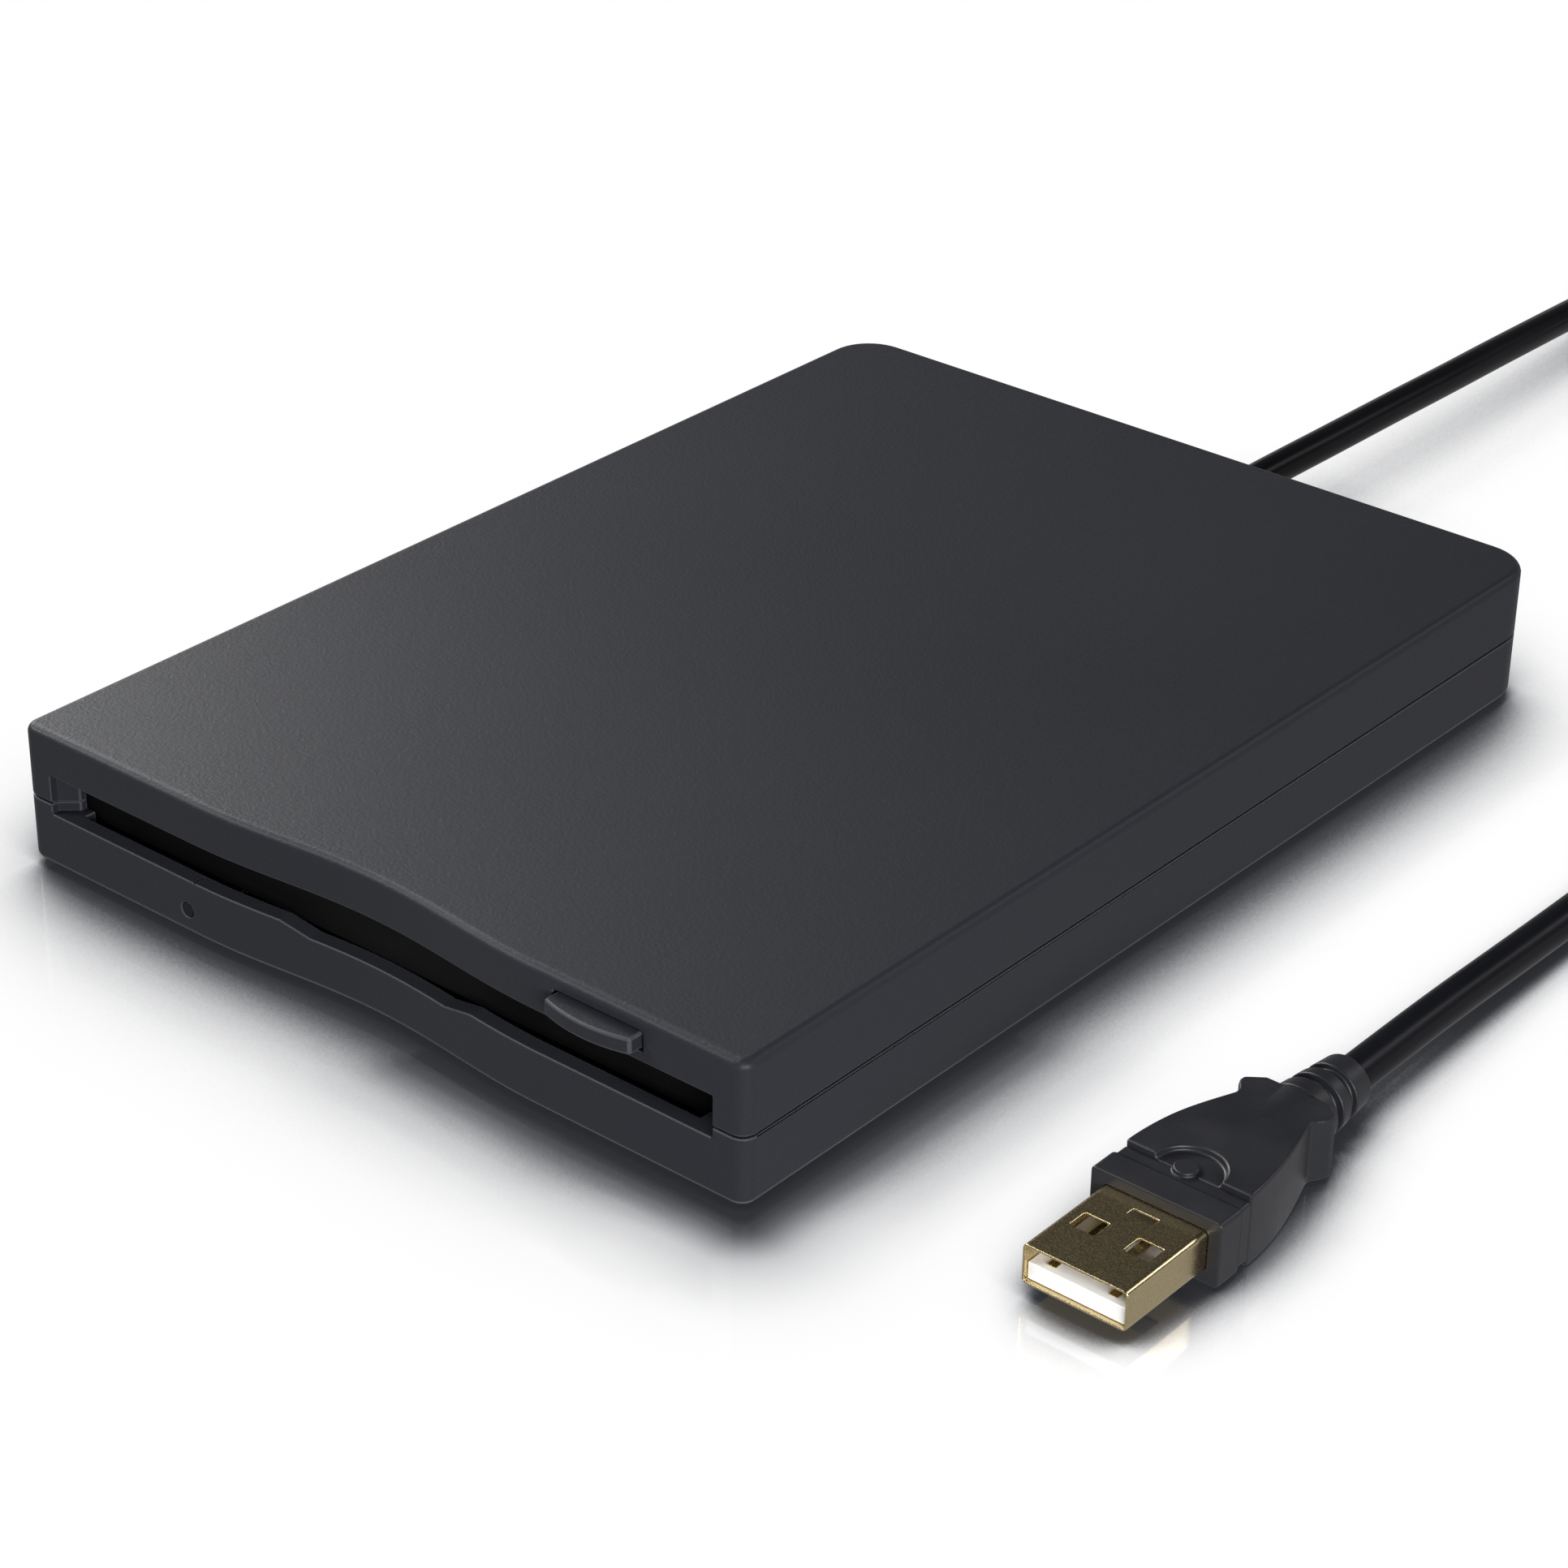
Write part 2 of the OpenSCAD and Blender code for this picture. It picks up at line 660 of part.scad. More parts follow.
module latch_spring() {
    wire = 0.26;
    turns = 3;
    r = 1.9;
    color(steel) from_front() translate([latch_x, latch_y, 13.6]) {
        winding(turns, r, wire, 0.32);
        translate([r, 0, 0.32 * turns - 0.1])
            cylinder(h = cover_z - 13.5 - 0.32 * turns, r = wire / 2, $fn = 16);
    }
}

// Iron-backed board under the spindle motor
module motor_board() {
    color([0.1, 0.2, 0.13]) from_front() difference() {
        translate([-18, 30, board_z]) cube([58, 48, board_t]);
        translate([28, 66, board_z - 1]) cube([20, 20, 3]);
    }
}

// Laminated core with nine teeth
module motor_stator() {
    teeth = 9;
    color(dark_steel) from_front() translate([0, spindle_y, plate_z + 0.25]) linear_extrude(0.8) {
        difference() {
            union() {
                circle(r = 5.6, $fn = 64);
                for (i = [0:teeth - 1])
                    rotate(360 * i / teeth) translate([0, -0.8]) square([12.2, 1.6]);
                difference() {
                    circle(r = 12.6, $fn = 96);
                    circle(r = 11.4, $fn = 96);
                    for (i = [0:teeth - 1])
                        rotate(360 * (i + 0.5) / teeth) translate([0, -1]) square([14, 2]);
                }
            }
            circle(r = 3, $fn = 64);
        }
    }
}

module motor_coils() {
    teeth = 9;
    coil_l = 4.4;
    coil_w = 3;
    color(copper) from_front() translate([0, spindle_y, plate_z + 0.05])
        for (i = [0:teeth - 1])
            rotate(360 * i / teeth) translate([6.4, 0, 0]) difference() {
                translate([0, -coil_w / 2, 0]) cube([coil_l, coil_w, 1.2]);
                translate([-1, -0.8, 0.2]) cube([coil_l + 2, 1.6, 0.8]);
            }
}

// Shallow steel cup that carries the magnet and turns the disk
module motor_rotor() {
    cup_z = plate_z + 0.35;
    roof = 5.1;
    color(steel) from_front() translate([0, spindle_y, 0]) difference() {
        translate([0, 0, cup_z]) cylinder(h = roof + 0.5 - cup_z, r = rotor_r, $fn = 96);
        translate([0, 0, cup_z - 1]) cylinder(h = roof - cup_z + 1, r = rotor_r - 0.6, $fn = 96);
        translate([0, 0, roof - 1]) cylinder(h = 3, r = spindle_d / 2, $fn = 48);
    }
}

module rotor_magnet() {
    magnet_z = plate_z + 0.35;
    color([0.2, 0.18, 0.17]) from_front() translate([0, spindle_y, magnet_z]) difference() {
        cylinder(h = 5.1 - magnet_z, r = rotor_r - 0.6, $fn = 96);
        translate([0, 0, -1]) cylinder(h = 5, r = rotor_r - 2.3, $fn = 96);
    }
}

module spindle_shaft() {
    color(steel) from_front() translate([0, spindle_y, plate_z + fit])
        cylinder(h = 7.1 - plate_z - fit, r = spindle_d / 2, $fn = 48);
}

module spindle_bearing() {
    color([0.75, 0.58, 0.3]) from_front() translate([0, spindle_y, 0]) difference() {
        union() {
            translate([0, 0, plate_z]) cylinder(h = 1.2, r = 3, $fn = 48);
            translate([0, 0, plate_z]) cylinder(h = 0.25, r = 4.4, $fn = 48);
        }
        translate([0, 0, plate_z - 1]) cylinder(h = 4, r = spindle_d / 2 + 0.03, $fn = 48);
    }
}

// Magnetic disk that grips the floppy's metal hub
module hub_chuck() {
    color([0.16, 0.16, 0.17]) from_front() translate([0, spindle_y, 5.6]) difference() {
        cylinder(h = 0.5, r = 11.5, $fn = 96);
        translate([0, 0, -1]) cylinder(h = 3, r = spindle_d / 2, $fn = 48);
        translate([10, 0, -1]) cylinder(h = 3, r = 1, $fn = 32);
    }
}

module drive_pin() {
    color(steel) from_front() translate([10, spindle_y, 5.6]) cylinder(h = 1.2, r = 1, $fn = 32);
}

// Carriage body with its rod bore, rail slot, lower arm, arm ears and sensor flag
module head_carriage() {
    color(black) from_front() difference() {
        union() {
            translate([-15, carriage_y0, 4.7]) cube([28, carriage_l, 4]);
            translate([-3.4, head_y - 3, 5.0]) cube([6.8, carriage_y0 - head_y + 3.1, 0.9]);
            for (side = [-1, 1])
                translate([side * 6.3 - 0.7, arm_y - 1.7, 8.6]) cube([1.4, 3.4, 3.4]);
            translate([12.9, carriage_y0, 7.9]) cube([3.2, 1.8, 1.6]);
            translate([-18.9, 120, 7.9]) cube([4, 2, 0.8]);
            translate([-18.9, 119, 5.8]) cube([0.6, 4, 2.9]);
        }
        translate([-rod_x, carriage_y0 - 1, rod_z]) rotate([-90, 0, 0])
            cylinder(h = carriage_l + 2, r = rod_d / 2 + fit, $fn = 48);
        translate([rod_x - rod_d / 2 - 0.1, carriage_y0 - 1, rod_z - rod_d / 2 - 0.1])
            cube([5, carriage_l + 2, rod_d + 0.2]);
        translate([-4, carriage_y0 - 1, 7]) cube([8, 5, 3]);
        translate([-8, arm_y, arm_z]) rotate([0, 90, 0]) cylinder(h = 16, r = 0.6, $fn = 32);
        translate([14, follower_y, screw_z]) rotate([0, 90, 0]) cylinder(h = 4, r = 0.35, $fn = 24);
    }
}

module lower_head() {
    color(nylon) from_front() translate([-1.8, head_y - 2.4, 5.9]) cube([3.6, 4.8, 1.55]);
}

// Steel needle that follows the groove of the lead screw
module follower_pin() {
    color(steel) from_front() translate([14, follower_y, screw_z]) rotate([0, 90, 0])
        cylinder(h = screw_x - 1.05 - 14, r = 0.35, $fn = 24);
}

// Draws what is placed on the upper arm in its loaded pose at the lifted rest pose
module on_arm() {
    from_front() translate([0, arm_y, arm_z]) rotate([-arm_lift, 0, 0])
        translate([0, -arm_y, -arm_z]) children();
}

module upper_head_arm() {
    tip_y = head_y - 1.7;
    color(nylon) on_arm() difference() {
        union() {
            difference() {
                translate([-3.4, tip_y, 9.35]) cube([6.8, arm_y - tip_y, 0.5]);
                translate([-3.5, arm_y - 2.3, 9]) cube([2.4, 3, 1.5]);
            }
            translate([-5.3, arm_y, arm_z]) rotate([0, 90, 0]) cylinder(h = 10.6, r = 1.4, $fn = 48);
        }
        translate([-6, arm_y, arm_z]) rotate([0, 90, 0]) cylinder(h = 12, r = 0.65, $fn = 32);
        translate([-1.5, 102, 9]) cube([3, 14, 1.5]);
    }
}

module upper_head() {
    color(nylon) on_arm() translate([-1.8, head_y - 1.7, 7.6]) cube([3.6, 4.2, 1.75]);
}

module arm_pin() {
    color(steel) from_front() translate([-7, arm_y, arm_z])
        rotate([0, 90, 0]) cylinder(h = 14, r = 0.6, $fn = 32);
}

module arm_spring() {
    wire = 0.3;
    turns = 46 / 12;
    r = 1.4 + wire / 2 + 0.08;
    color(steel) on_arm() {
        translate([-3.2, arm_y, arm_z]) rotate([0, 90, 0]) winding(turns, r, wire, 0.34);
        translate([-1.91, arm_y - 1.45, arm_z - 0.57]) rotate([90, 0, 0])
            cylinder(h = 4.5, r = wire / 2, $fn = 16);
    }
}

module guide_rods() {
    color(steel) from_front()
        for (side = [-1, 1])
            translate([side * rod_x, 100.6, rod_z]) rotate([-90, 0, 0])
                cylinder(h = 27.8, r = rod_d / 2, $fn = 32);
}

// Small stepper with a mounting flange
module stepper_motor() {
    color(dark_steel) from_front() translate([screw_x, 0, screw_z]) difference() {
        union() {
            translate([0, 120.8, 0]) rotate([-90, 0, 0]) cylinder(h = 7.6, r = 4.2, $fn = 64);
            translate([-5.6, 120.2, -4.1]) cube([11.2, 0.6, 8.2]);
        }
        translate([0, 120, 0]) rotate([-90, 0, 0]) cylinder(h = 6, r = 0.8, $fn = 32);
    }
}

// Lead screw: an eccentric round section turned evenly along its length
module lead_screw() {
    thread_l = screw_y1 - 1.2 - screw_y0;
    color(steel) from_front() {
        translate([screw_x, screw_y0 + thread_l, screw_z]) rotate([90, 0, 0])
            linear_extrude(thread_l, twist = -360 * thread_l / screw_lead, slices = 56)
                rotate(180 - 360 * (screw_y0 + thread_l - follower_y) / screw_lead)
                    translate([-0.3, 0]) circle(r = 1.2, $fn = 16);
        translate([screw_x, screw_y0 - 2, screw_z]) rotate([-90, 0, 0]) cylinder(h = 2.1, r = 0.75, $fn = 32);
        translate([screw_x, screw_y1 - 1.3, screw_z]) rotate([-90, 0, 0]) cylinder(h = 6, r = 0.75, $fn = 32);
    }
}

module screw_bearing() {
    color(nylon) from_front() difference() {
        translate([screw_x - 2.2, screw_y0 - 2, deck_z]) cube([4.4, 1.9, screw_z + 1.8 - deck_z]);
        translate([screw_x, screw_y0 - 3, screw_z]) rotate([-90, 0, 0]) cylinder(h = 4, r = 0.79, $fn = 32);
    }
}

// Light gate that the carriage's flag enters at track zero
module track_zero_sensor() {
    color(black) from_front() translate([-20.6, 118.6, deck_z]) difference() {
        cube([4, 5, 3]);
        translate([1.3, -1, 0.8]) cube([1.4, 7, 4]);
    }
}

module main_board() {
    color(board_green) from_front() difference() {
        translate([-46, 22, board_z]) cube([27, 100, board_t]);
        for (y = [26, 118])
            post(-43, y, board_z - 1, plate_z + 1, 1.1);
    }
}

// Controller chip, its small neighbours and the ribbon socket on the main board
module board_chips() {
    color([0.07, 0.07, 0.08]) from_front() {
        translate([-41, 56, plate_z]) cube([12, 12, 1.1]);
        translate([-40, 76, plate_z]) cube([7, 5, 1.1]);
        for (i = [0:4])
            translate([-42 + i * 3.4, 48, plate_z]) cube([1.6, 0.8, 0.5]);
        translate([-37, 96, plate_z]) cube([16, 4, 1.5]);
    }
}

switch_xs = [-38, -33, 38];

// Front strip with the three disk switches and the lamp of the activity light
module switch_board() {
    color(board_green) from_front() difference() {
        union() {
            translate([-40, 9, board_z]) cube([80, 10, board_t]);
            for (x = switch_xs)
                translate([x - 2.2, switch_y - 2.2, plate_z]) cube([4.4, 4.4, 1.4]);
            translate([-light_x - 1.2, 7.05, board_z]) cube([2.4, 2, 1.2]);
        }
        for (x = switch_xs)
            post(x, switch_y, plate_z + 0.05, plate_z + 3, 1.05);
    }
}

module plunger(x) {
    color(nylon) from_front() {
        post(x, switch_y, plate_z + 0.95, 6.5, 1);
    }
}

// Interface board behind the mechanism
module usb_board() {
    color(board_green) from_front() difference() {
        translate([-usb_half, usb_y0, usb_z]) cube([2 * usb_half, usb_y1 - usb_y0, 1]);
        for (p = usb_posts)
            post(p[0], p[1], usb_z - 1, usb_z + 2, 1.1);
    }
}

module usb_chips() {
    color([0.07, 0.07, 0.08]) from_front() translate([0, usb_y0 + 1, usb_z + 1]) {
        translate([10, 0.2, 0]) cube([7, 6, 1.1]);
        translate([-37, 0, 0]) cube([16, 2.6, 1.6]);
        translate([-4, 0.6, 0]) cube([5, 3.2, 0.9]);
        for (i = [0:3])
            translate([20 + i * 2.4, 1, 0]) cube([1.2, 2, 0.6]);
    }
}

module board_screws() {
    color(steel) from_front()
        for (p = usb_posts)
            small_screw(p[0], p[1], usb_z + 1, 4);
}

// Flat ribbon from the main board to the interface board
module ribbon_cable() {
    ribbon_w = 14;
    ribbon_t = 0.25;
    path = [[100, plate_z + 0.9], [103, plate_z + 0.9], [106, deck_z + 0.6], [126, deck_z + 0.6],
        [usb_y0 - 0.8, usb_z + 1.9], [usb_y0 + 1, usb_z + 1.9]];
    color([0.8, 0.8, 0.76]) from_front() translate([-36, 0, 0]) rotate([90, 0, 90])
        linear_extrude(ribbon_w)
            polygon(concat(
                [for (p = path) p],
                [for (i = [len(path) - 1:-1:0]) path[i] + [0, ribbon_t]]
            ));
}

// Four cores of the cable, from the strain relief down to the board
module cable_wires() {
    core_r = 0.4;
    run = 5.4;
    rise = boot_z - usb_z - 1.55;
    core_colors = [[0.7, 0.1, 0.1], [0.1, 0.45, 0.2], [0.85, 0.85, 0.85], [0.08, 0.08, 0.08]];
    for (i = [0:3])
        color(core_colors[i])
            from_front() translate([boot_x - 1.5 + i, usb_y1 - 1.9, usb_z + 1.55])
                rotate([atan2(rise, run) - 90, 0, 0]) cylinder(h = norm([run, rise]), r = core_r, $fn = 24);
}

// Ribbed strain relief held in the rear wall by a flange
module cable_boot() {
    color(black) from_front() translate([boot_x, case_d, boot_z]) rotate([-90, 0, 0]) difference() {
        union() {
            translate([0, 0, -wall - 1.2]) cylinder(h = 1.15, r = 5.2, $fn = 48);
            translate([0, 0, -wall - 0.2]) cylinder(h = wall + 0.4, r = 4.05, $fn = 48);
            translate([0, 0, 0.05]) cylinder(h = boot_l - 0.05, r1 = 4.6, r2 = 4.1, $fn = 48);
        }
        for (z = [2, 4.2])
            translate([0, 0, z]) difference() {
                cylinder(h = 0.9, r = 6, $fn = 48);
                translate([0, 0, -1]) cylinder(h = 3, r = 3.6, $fn = 48);
            }
        translate([0, 0, -wall - 2]) cylinder(h = 1.6, r = cable_d / 2, $fn = 32);
    }
}

// A tube swept along points; it never runs straight up, so Z sets each ring upright
module tube(path, r, sides) {
    last = len(path) - 1;
    rings = [for (i = [0:last])
        let (
            t = path[min(i + 1, last)] - path[max(i - 1, 0)],
            along = t / norm(t),
            across = cross(along, [0, 0, 1]) / norm(cross(along, [0, 0, 1])),
            up = cross(across, along)
        )
        for (k = [0:sides - 1])
            path[i] + r * cos(360 * k / sides) * across + r * sin(360 * k / sides) * up];
    faces = concat(
        [[for (k = [sides - 1:-1:0]) k]],
        [for (i = [0:last - 1], k = [0:sides - 1])
            let (a = i * sides + k, b = i * sides + (k + 1) % sides)
            each [[a, b, b + sides], [a, b + sides, a + sides]]],
        [[for (k = [0:sides - 1]) last * sides + k]]
    );
    polyhedron(rings, faces);
}

// Route of the cable from the case to the coil: it leaves level and sags to the table
rear_points = [
    [boot_x, case_d + boot_l, boot_z], [boot_x, case_d + boot_l + 4, boot_z], [3.9, 162, 9.2],
    [4.1, 172, 9.1], [4.2, 182, 9], [4.2, 192, 8.8], [4.2, 202, 8.5], [4, 212, 8.2],
    [3.8, 222, 7.8], [3.5, 232, 7.3], [3.1, 242, 6.7], [2.7, 252, 5.8], [2.3, 262, 4.7],
    [2.1, 272, 3.6], [2, 282, 2.6]
];
// Route of the cable from the coil to the plug
front_points = [
    [54.2, 281, 6.6], [55.3, 273, 6.3], [57.4, 265, 5.6], [60.2, 255, 4.8], [63.5, 245, 4],
    [67, 235, 3.2], [70.5, 225, 2.6], [73.8, 215, 2.2], [76.8, 205, 2.1], [79.4, 195, 2.1], [81.4, 185, 2.1],
    [82.8, 175, 2.1], [83.6, 165, 2.1], [84, 155, 2.1], [84.2, 145, 2.1], [84.2, 135, 2.1], [84.2, 125, 2.1],
    [84.2, 115, 2.1], [84.2, 105, 2.2], [84.2, 95, 2.4], [84.3, 85, 2.8], [84.5, 75, 3.4], [84.8, 65, 3.9],
    [85, 57, 4.1], [85, 53, 4.1]
];

// Route of the coil: it winds in on the table, climbs a layer, and winds out on top
coil_pitch = cable_d + 0.5;
coil_out = coil_d / 2 + coil_turns * coil_pitch / 4;
coil_x = 2 + coil_out;
coil_y = 300;
coil_steps = 24;
coil_start = [coil_x - coil_out, coil_y - cable_d, cable_d / 2];
coil_end = [coil_x + coil_out, coil_y - cable_d, cable_d / 2 + coil_pitch];

// Lifts a route point so that the cable lies on the table and not in it
function lie(p) = [p[0], p[1], max(p[2], cable_d / 2)];

rear_route = concat([for (p = rear_points) lie(p)], [coil_start - [0, cable_d, 0], coil_start]);
front_route = concat([coil_end, coil_end - [0, cable_d, 0]], [for (p = front_points) lie(p)]);

function ease(u) =
    let (v = min(max(u, 0), 1)) v * v * (3 - 2 * v);

function coil_point(turn) =
    let (
        r = coil_out - coil_pitch * min(turn, coil_turns - turn),
        a = 180 - 360 * turn,
        z = cable_d / 2 + coil_pitch * ease((turn - coil_turns / 2 + 0.25) / 0.5)
    )
    [coil_x + r * cos(a), coil_y + r * sin(a), z];

coil_route = concat(
    [coil_start],
    [for (i = [0:coil_turns * coil_steps]) coil_point(i / coil_steps)],
    [coil_end]
);

coil_gap = min([
    for (i = [0:len(coil_route) - 1], j = [i + 8:1:len(coil_route) - 1])
        norm(coil_route[i] - coil_route[j])
]) - cable_d;
echo(coil_gap = coil_gap);

module cable_rear() {
    color(black) from_front() tube(rear_route, cable_d / 2, 10);
}

module cable_coil() {
    color(black) from_front() tube(coil_route, cable_d / 2, 6);
}

module cable_front() {
    color(black) from_front() tube(front_route, cable_d / 2, 10);
}

// The plug lies beside the case with its mouth forwards
plug_x = 85;
plug_y = 7.4;
plug_z = grip_h / 2;
collar_l = 5.2;
grip_l = 18.8;
shell_t = 0.3;
scoop_z = 3.4;
collar_step = 0.25;

module at_plug() {
    from_front() translate([plug_x, plug_y, plug_z]) children();
}

// A bar along +Y with a rounded rectangular section
module y_bar(w, h, r, y0, y1) {
    translate([0, y1, 0]) rotate([90, 0, 0]) linear_extrude(y1 - y0) {
        translate([-w / 2 + r, -h / 2]) square([w - 2 * r, h]);
        translate([-w / 2, -h / 2 + r]) square([w, h - 2 * r]);
        for (sx = [-1, 1], sz = [-1, 1])
            translate([sx * (w / 2 - r), sz * (h / 2 - r)]) circle(r = r, $fn = 32);
    }
}

module plug_shell() {
    color(gold) at_plug() difference() {
        y_bar(shell_w, shell_h, 0.6, 0, shell_l + 4);
        y_bar(shell_w - 2 * shell_t, shell_h - 2 * shell_t, 0.15, -1, shell_l + 5);
        for (side = [-1, 1])
            translate([side * 3.1 - 1.4, 5.2, -shell_h]) cube([2.8, 2.5, 2 * shell_h]);
        translate([-1.45, 10.1, 0]) cube([2.9, 1.1, shell_h]);
    }
}

module plug_tongue() {
    tongue_w = shell_w - 2 * shell_t - 0.1;
    color([0.93, 0.93, 0.92]) at_plug()
        translate([-tongue_w / 2, 0.5, -shell_h / 2 + shell_t + fit])
            cube([tongue_w, shell_l + 3.5, 1.9]);
}

module plug_contacts() {
    contact_z = -shell_h / 2 + shell_t + 1.95;
    color(gold) at_plug()
        for (x = [-3.5, -1, 1, 3.5])
            translate([x - 0.5, abs(x) > 2 ? 1.2 : 2.2, contact_z])
                cube([1, abs(x) > 2 ? 9 : 8, 0.15]);
}

module plug_collar() {
    color(case_color) at_plug() difference() {
        union() {
            y_bar(collar_w, 7.3, 0.5, shell_l, shell_l + 3.4);
            y_bar(collar_w - 2 * collar_step, 7.3 - 2 * collar_step, 0.4, shell_l + 3, shell_l + collar_l);
            // raised dot that reaches back into the grip's scoop
            translate([-0.4, shell_l + collar_l + 0.3, scoop_z - 0.1])
                cylinder(h = 0.6, r = 1.3, $fn = 48);
        }
        y_bar(shell_w, shell_h, 0.6, shell_l - 1, shell_l + 4);
        translate([-3, shell_l + collar_l, scoop_z - 1]) cube([6, 3, 1]);
    }
}

// Half width of the grip along its length, from the front step to the flared rear
function grip_half(u) =
    u < 0.84
        ? 7.2 - 2.9 * (1 - cos(90 * u / 0.84))
        : 4.3 + 1.1 * ease((u - 0.84) / 0.12);

// Half thickness of the grip: even at the front, thinner towards the cable
function grip_rise(u) =
    grip_h / 2 - 0.65 * ease((u - 0.3) / 0.7);

module plug_grip() {
    steps = 24;
    front = shell_l + collar_l;
    us = [for (i = [0:steps]) i / steps];
    color(black) at_plug() difference() {
        union() {
            intersection() {
                translate([0, front, -grip_h]) linear_extrude(2 * grip_h)
                    polygon(concat(
                        [for (u = us) [-grip_half(u), u * (grip_l - 1.4)]],
                        [[-3.6, grip_l], [3.6, grip_l]],
                        [for (i = [steps:-1:0]) [grip_half(us[i]), us[i] * (grip_l - 1.4)]]
                    ));
                translate([-collar_w, front, 0]) rotate([90, 0, 90]) linear_extrude(2 * collar_w)
                    polygon(concat(
                        [for (u = us) [u * grip_l, -grip_rise(u)]],
                        [for (i = [steps:-1:0]) [us[i] * grip_l, grip_rise(us[i])]]
                    ));
            }
            // the round neck shows through the thinner rear
            translate([0, front + 10.5, 0]) rotate([-90, 0, 0]) cylinder(h = grip_l - 10.5, r = 3.8, $fn = 64);
        }
        translate([0, front, scoop_z]) cylinder(h = 2, r = 3.7, $fn = 64);
    }
}

module plug_relief() {
    relief_y = shell_l + collar_l + grip_l;
    color(black) at_plug() translate([0, relief_y, 0]) rotate([-90, 0, 0]) difference() {
        cylinder(h = 45.6 - relief_y, r1 = 3.8, r2 = 3, $fn = 48);
        for (z = [2.2, 5])
            translate([0, 0, z]) difference() {
                cylinder(h = 1.1, r = 6, $fn = 48);
                translate([0, 0, -1]) cylinder(h = 4, r = 2.6, $fn = 48);
            }
    }
}

upper_shell();
lower_shell();
dust_flap();
flap_spring();
eject_button();
activity_light();
rubber_feet();
case_screws();
chassis_frame();
chassis_screws();
drive_cover();
disk_holder();
eject_slider();
slider_springs();
latch_lever();
latch_post();
latch_spring();
motor_board();
motor_stator();
motor_coils();
motor_rotor();
rotor_magnet();
spindle_shaft();
spindle_bearing();
hub_chuck();
drive_pin();
head_carriage();
lower_head();
follower_pin();
upper_head_arm();
upper_head();
arm_pin();
arm_spring();
guide_rods();
stepper_motor();
lead_screw();
screw_bearing();
track_zero_sensor();
main_board();
board_chips();
switch_board();
plunger(switch_xs[0]);  // protect_plunger
plunger(switch_xs[1]);  // disk_plunger
plunger(switch_xs[2]);  // density_plunger
usb_board();
usb_chips();
board_screws();
ribbon_cable();
cable_wires();
cable_boot();
cable_rear();
cable_coil();
cable_front();
plug_relief();
plug_grip();
plug_collar();
plug_shell();
plug_tongue();
plug_contacts();
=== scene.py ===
import math

import bmesh
import bpy
from mathutils import Matrix, Vector


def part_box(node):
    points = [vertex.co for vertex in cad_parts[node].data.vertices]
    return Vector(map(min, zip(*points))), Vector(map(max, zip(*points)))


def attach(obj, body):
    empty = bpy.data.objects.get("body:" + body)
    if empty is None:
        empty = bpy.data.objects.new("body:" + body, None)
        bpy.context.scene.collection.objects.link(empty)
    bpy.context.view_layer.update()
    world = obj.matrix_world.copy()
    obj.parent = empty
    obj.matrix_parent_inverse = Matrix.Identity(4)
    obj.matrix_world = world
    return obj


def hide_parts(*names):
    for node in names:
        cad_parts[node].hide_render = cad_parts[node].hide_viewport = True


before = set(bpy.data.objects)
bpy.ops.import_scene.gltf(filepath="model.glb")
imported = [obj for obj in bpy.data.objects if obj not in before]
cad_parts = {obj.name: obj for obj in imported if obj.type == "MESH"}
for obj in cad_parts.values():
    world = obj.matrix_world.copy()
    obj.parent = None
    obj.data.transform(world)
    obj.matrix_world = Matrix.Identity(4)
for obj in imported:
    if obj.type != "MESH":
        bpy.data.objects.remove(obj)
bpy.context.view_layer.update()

# ---------------------------------------------------------------------------
# Studio: camera at the photograph's angle, white table top with a faint gloss,
# a large soft lamp at the left rear and three small ones for sides and edges.
# ---------------------------------------------------------------------------
view = bpy.data.cameras.new("photo_camera")
view.sensor_width = 36
view.lens = 90.87
view.clip_start = 0.01
camera = bpy.data.objects.new("photo_camera", view)
# place, turn and lens are fitted to the case's straight edges in the photograph
right = Vector((0.7663, 0.6423, 0.0130)).normalized()
back = Vector((0.5561, -0.6733, 0.4873))
back = (back - back.dot(right) * right).normalized()
up = back.cross(right)
camera.matrix_world = Matrix.Translation((0.251736, -0.308675, 0.22115)) @ Matrix(
    (right, up, back)).transposed().to_4x4()
bpy.context.collection.objects.link(camera)
bpy.context.scene.camera = camera
bpy.context.scene.view_settings.view_transform = "Standard"


def wire(tree, *pairs):
    for a, b in pairs:
        tree.links.new(a, b)


def soft_lamp(name, place, target, width, height, power):
    lamp = bpy.data.lights.new(name, "AREA")
    lamp.shape = "RECTANGLE"
    lamp.size = width
    lamp.size_y = height
    lamp.energy = power
    piece = bpy.data.objects.new(name, lamp)
    piece.location = place
    piece.rotation_euler = (Vector(target) - Vector(place)).to_track_quat("-Z", "Y").to_euler()
    piece.light_linking.receiver_collection = off_table
    bpy.context.collection.objects.link(piece)


mesh = bpy.data.meshes.new("table_top")
bm = bmesh.new()
bmesh.ops.create_grid(bm, x_segments=1, y_segments=1, size=6)
bm.to_mesh(mesh)
bm.free()
table = bpy.data.objects.new("table_top", mesh)
bpy.context.collection.objects.link(table)
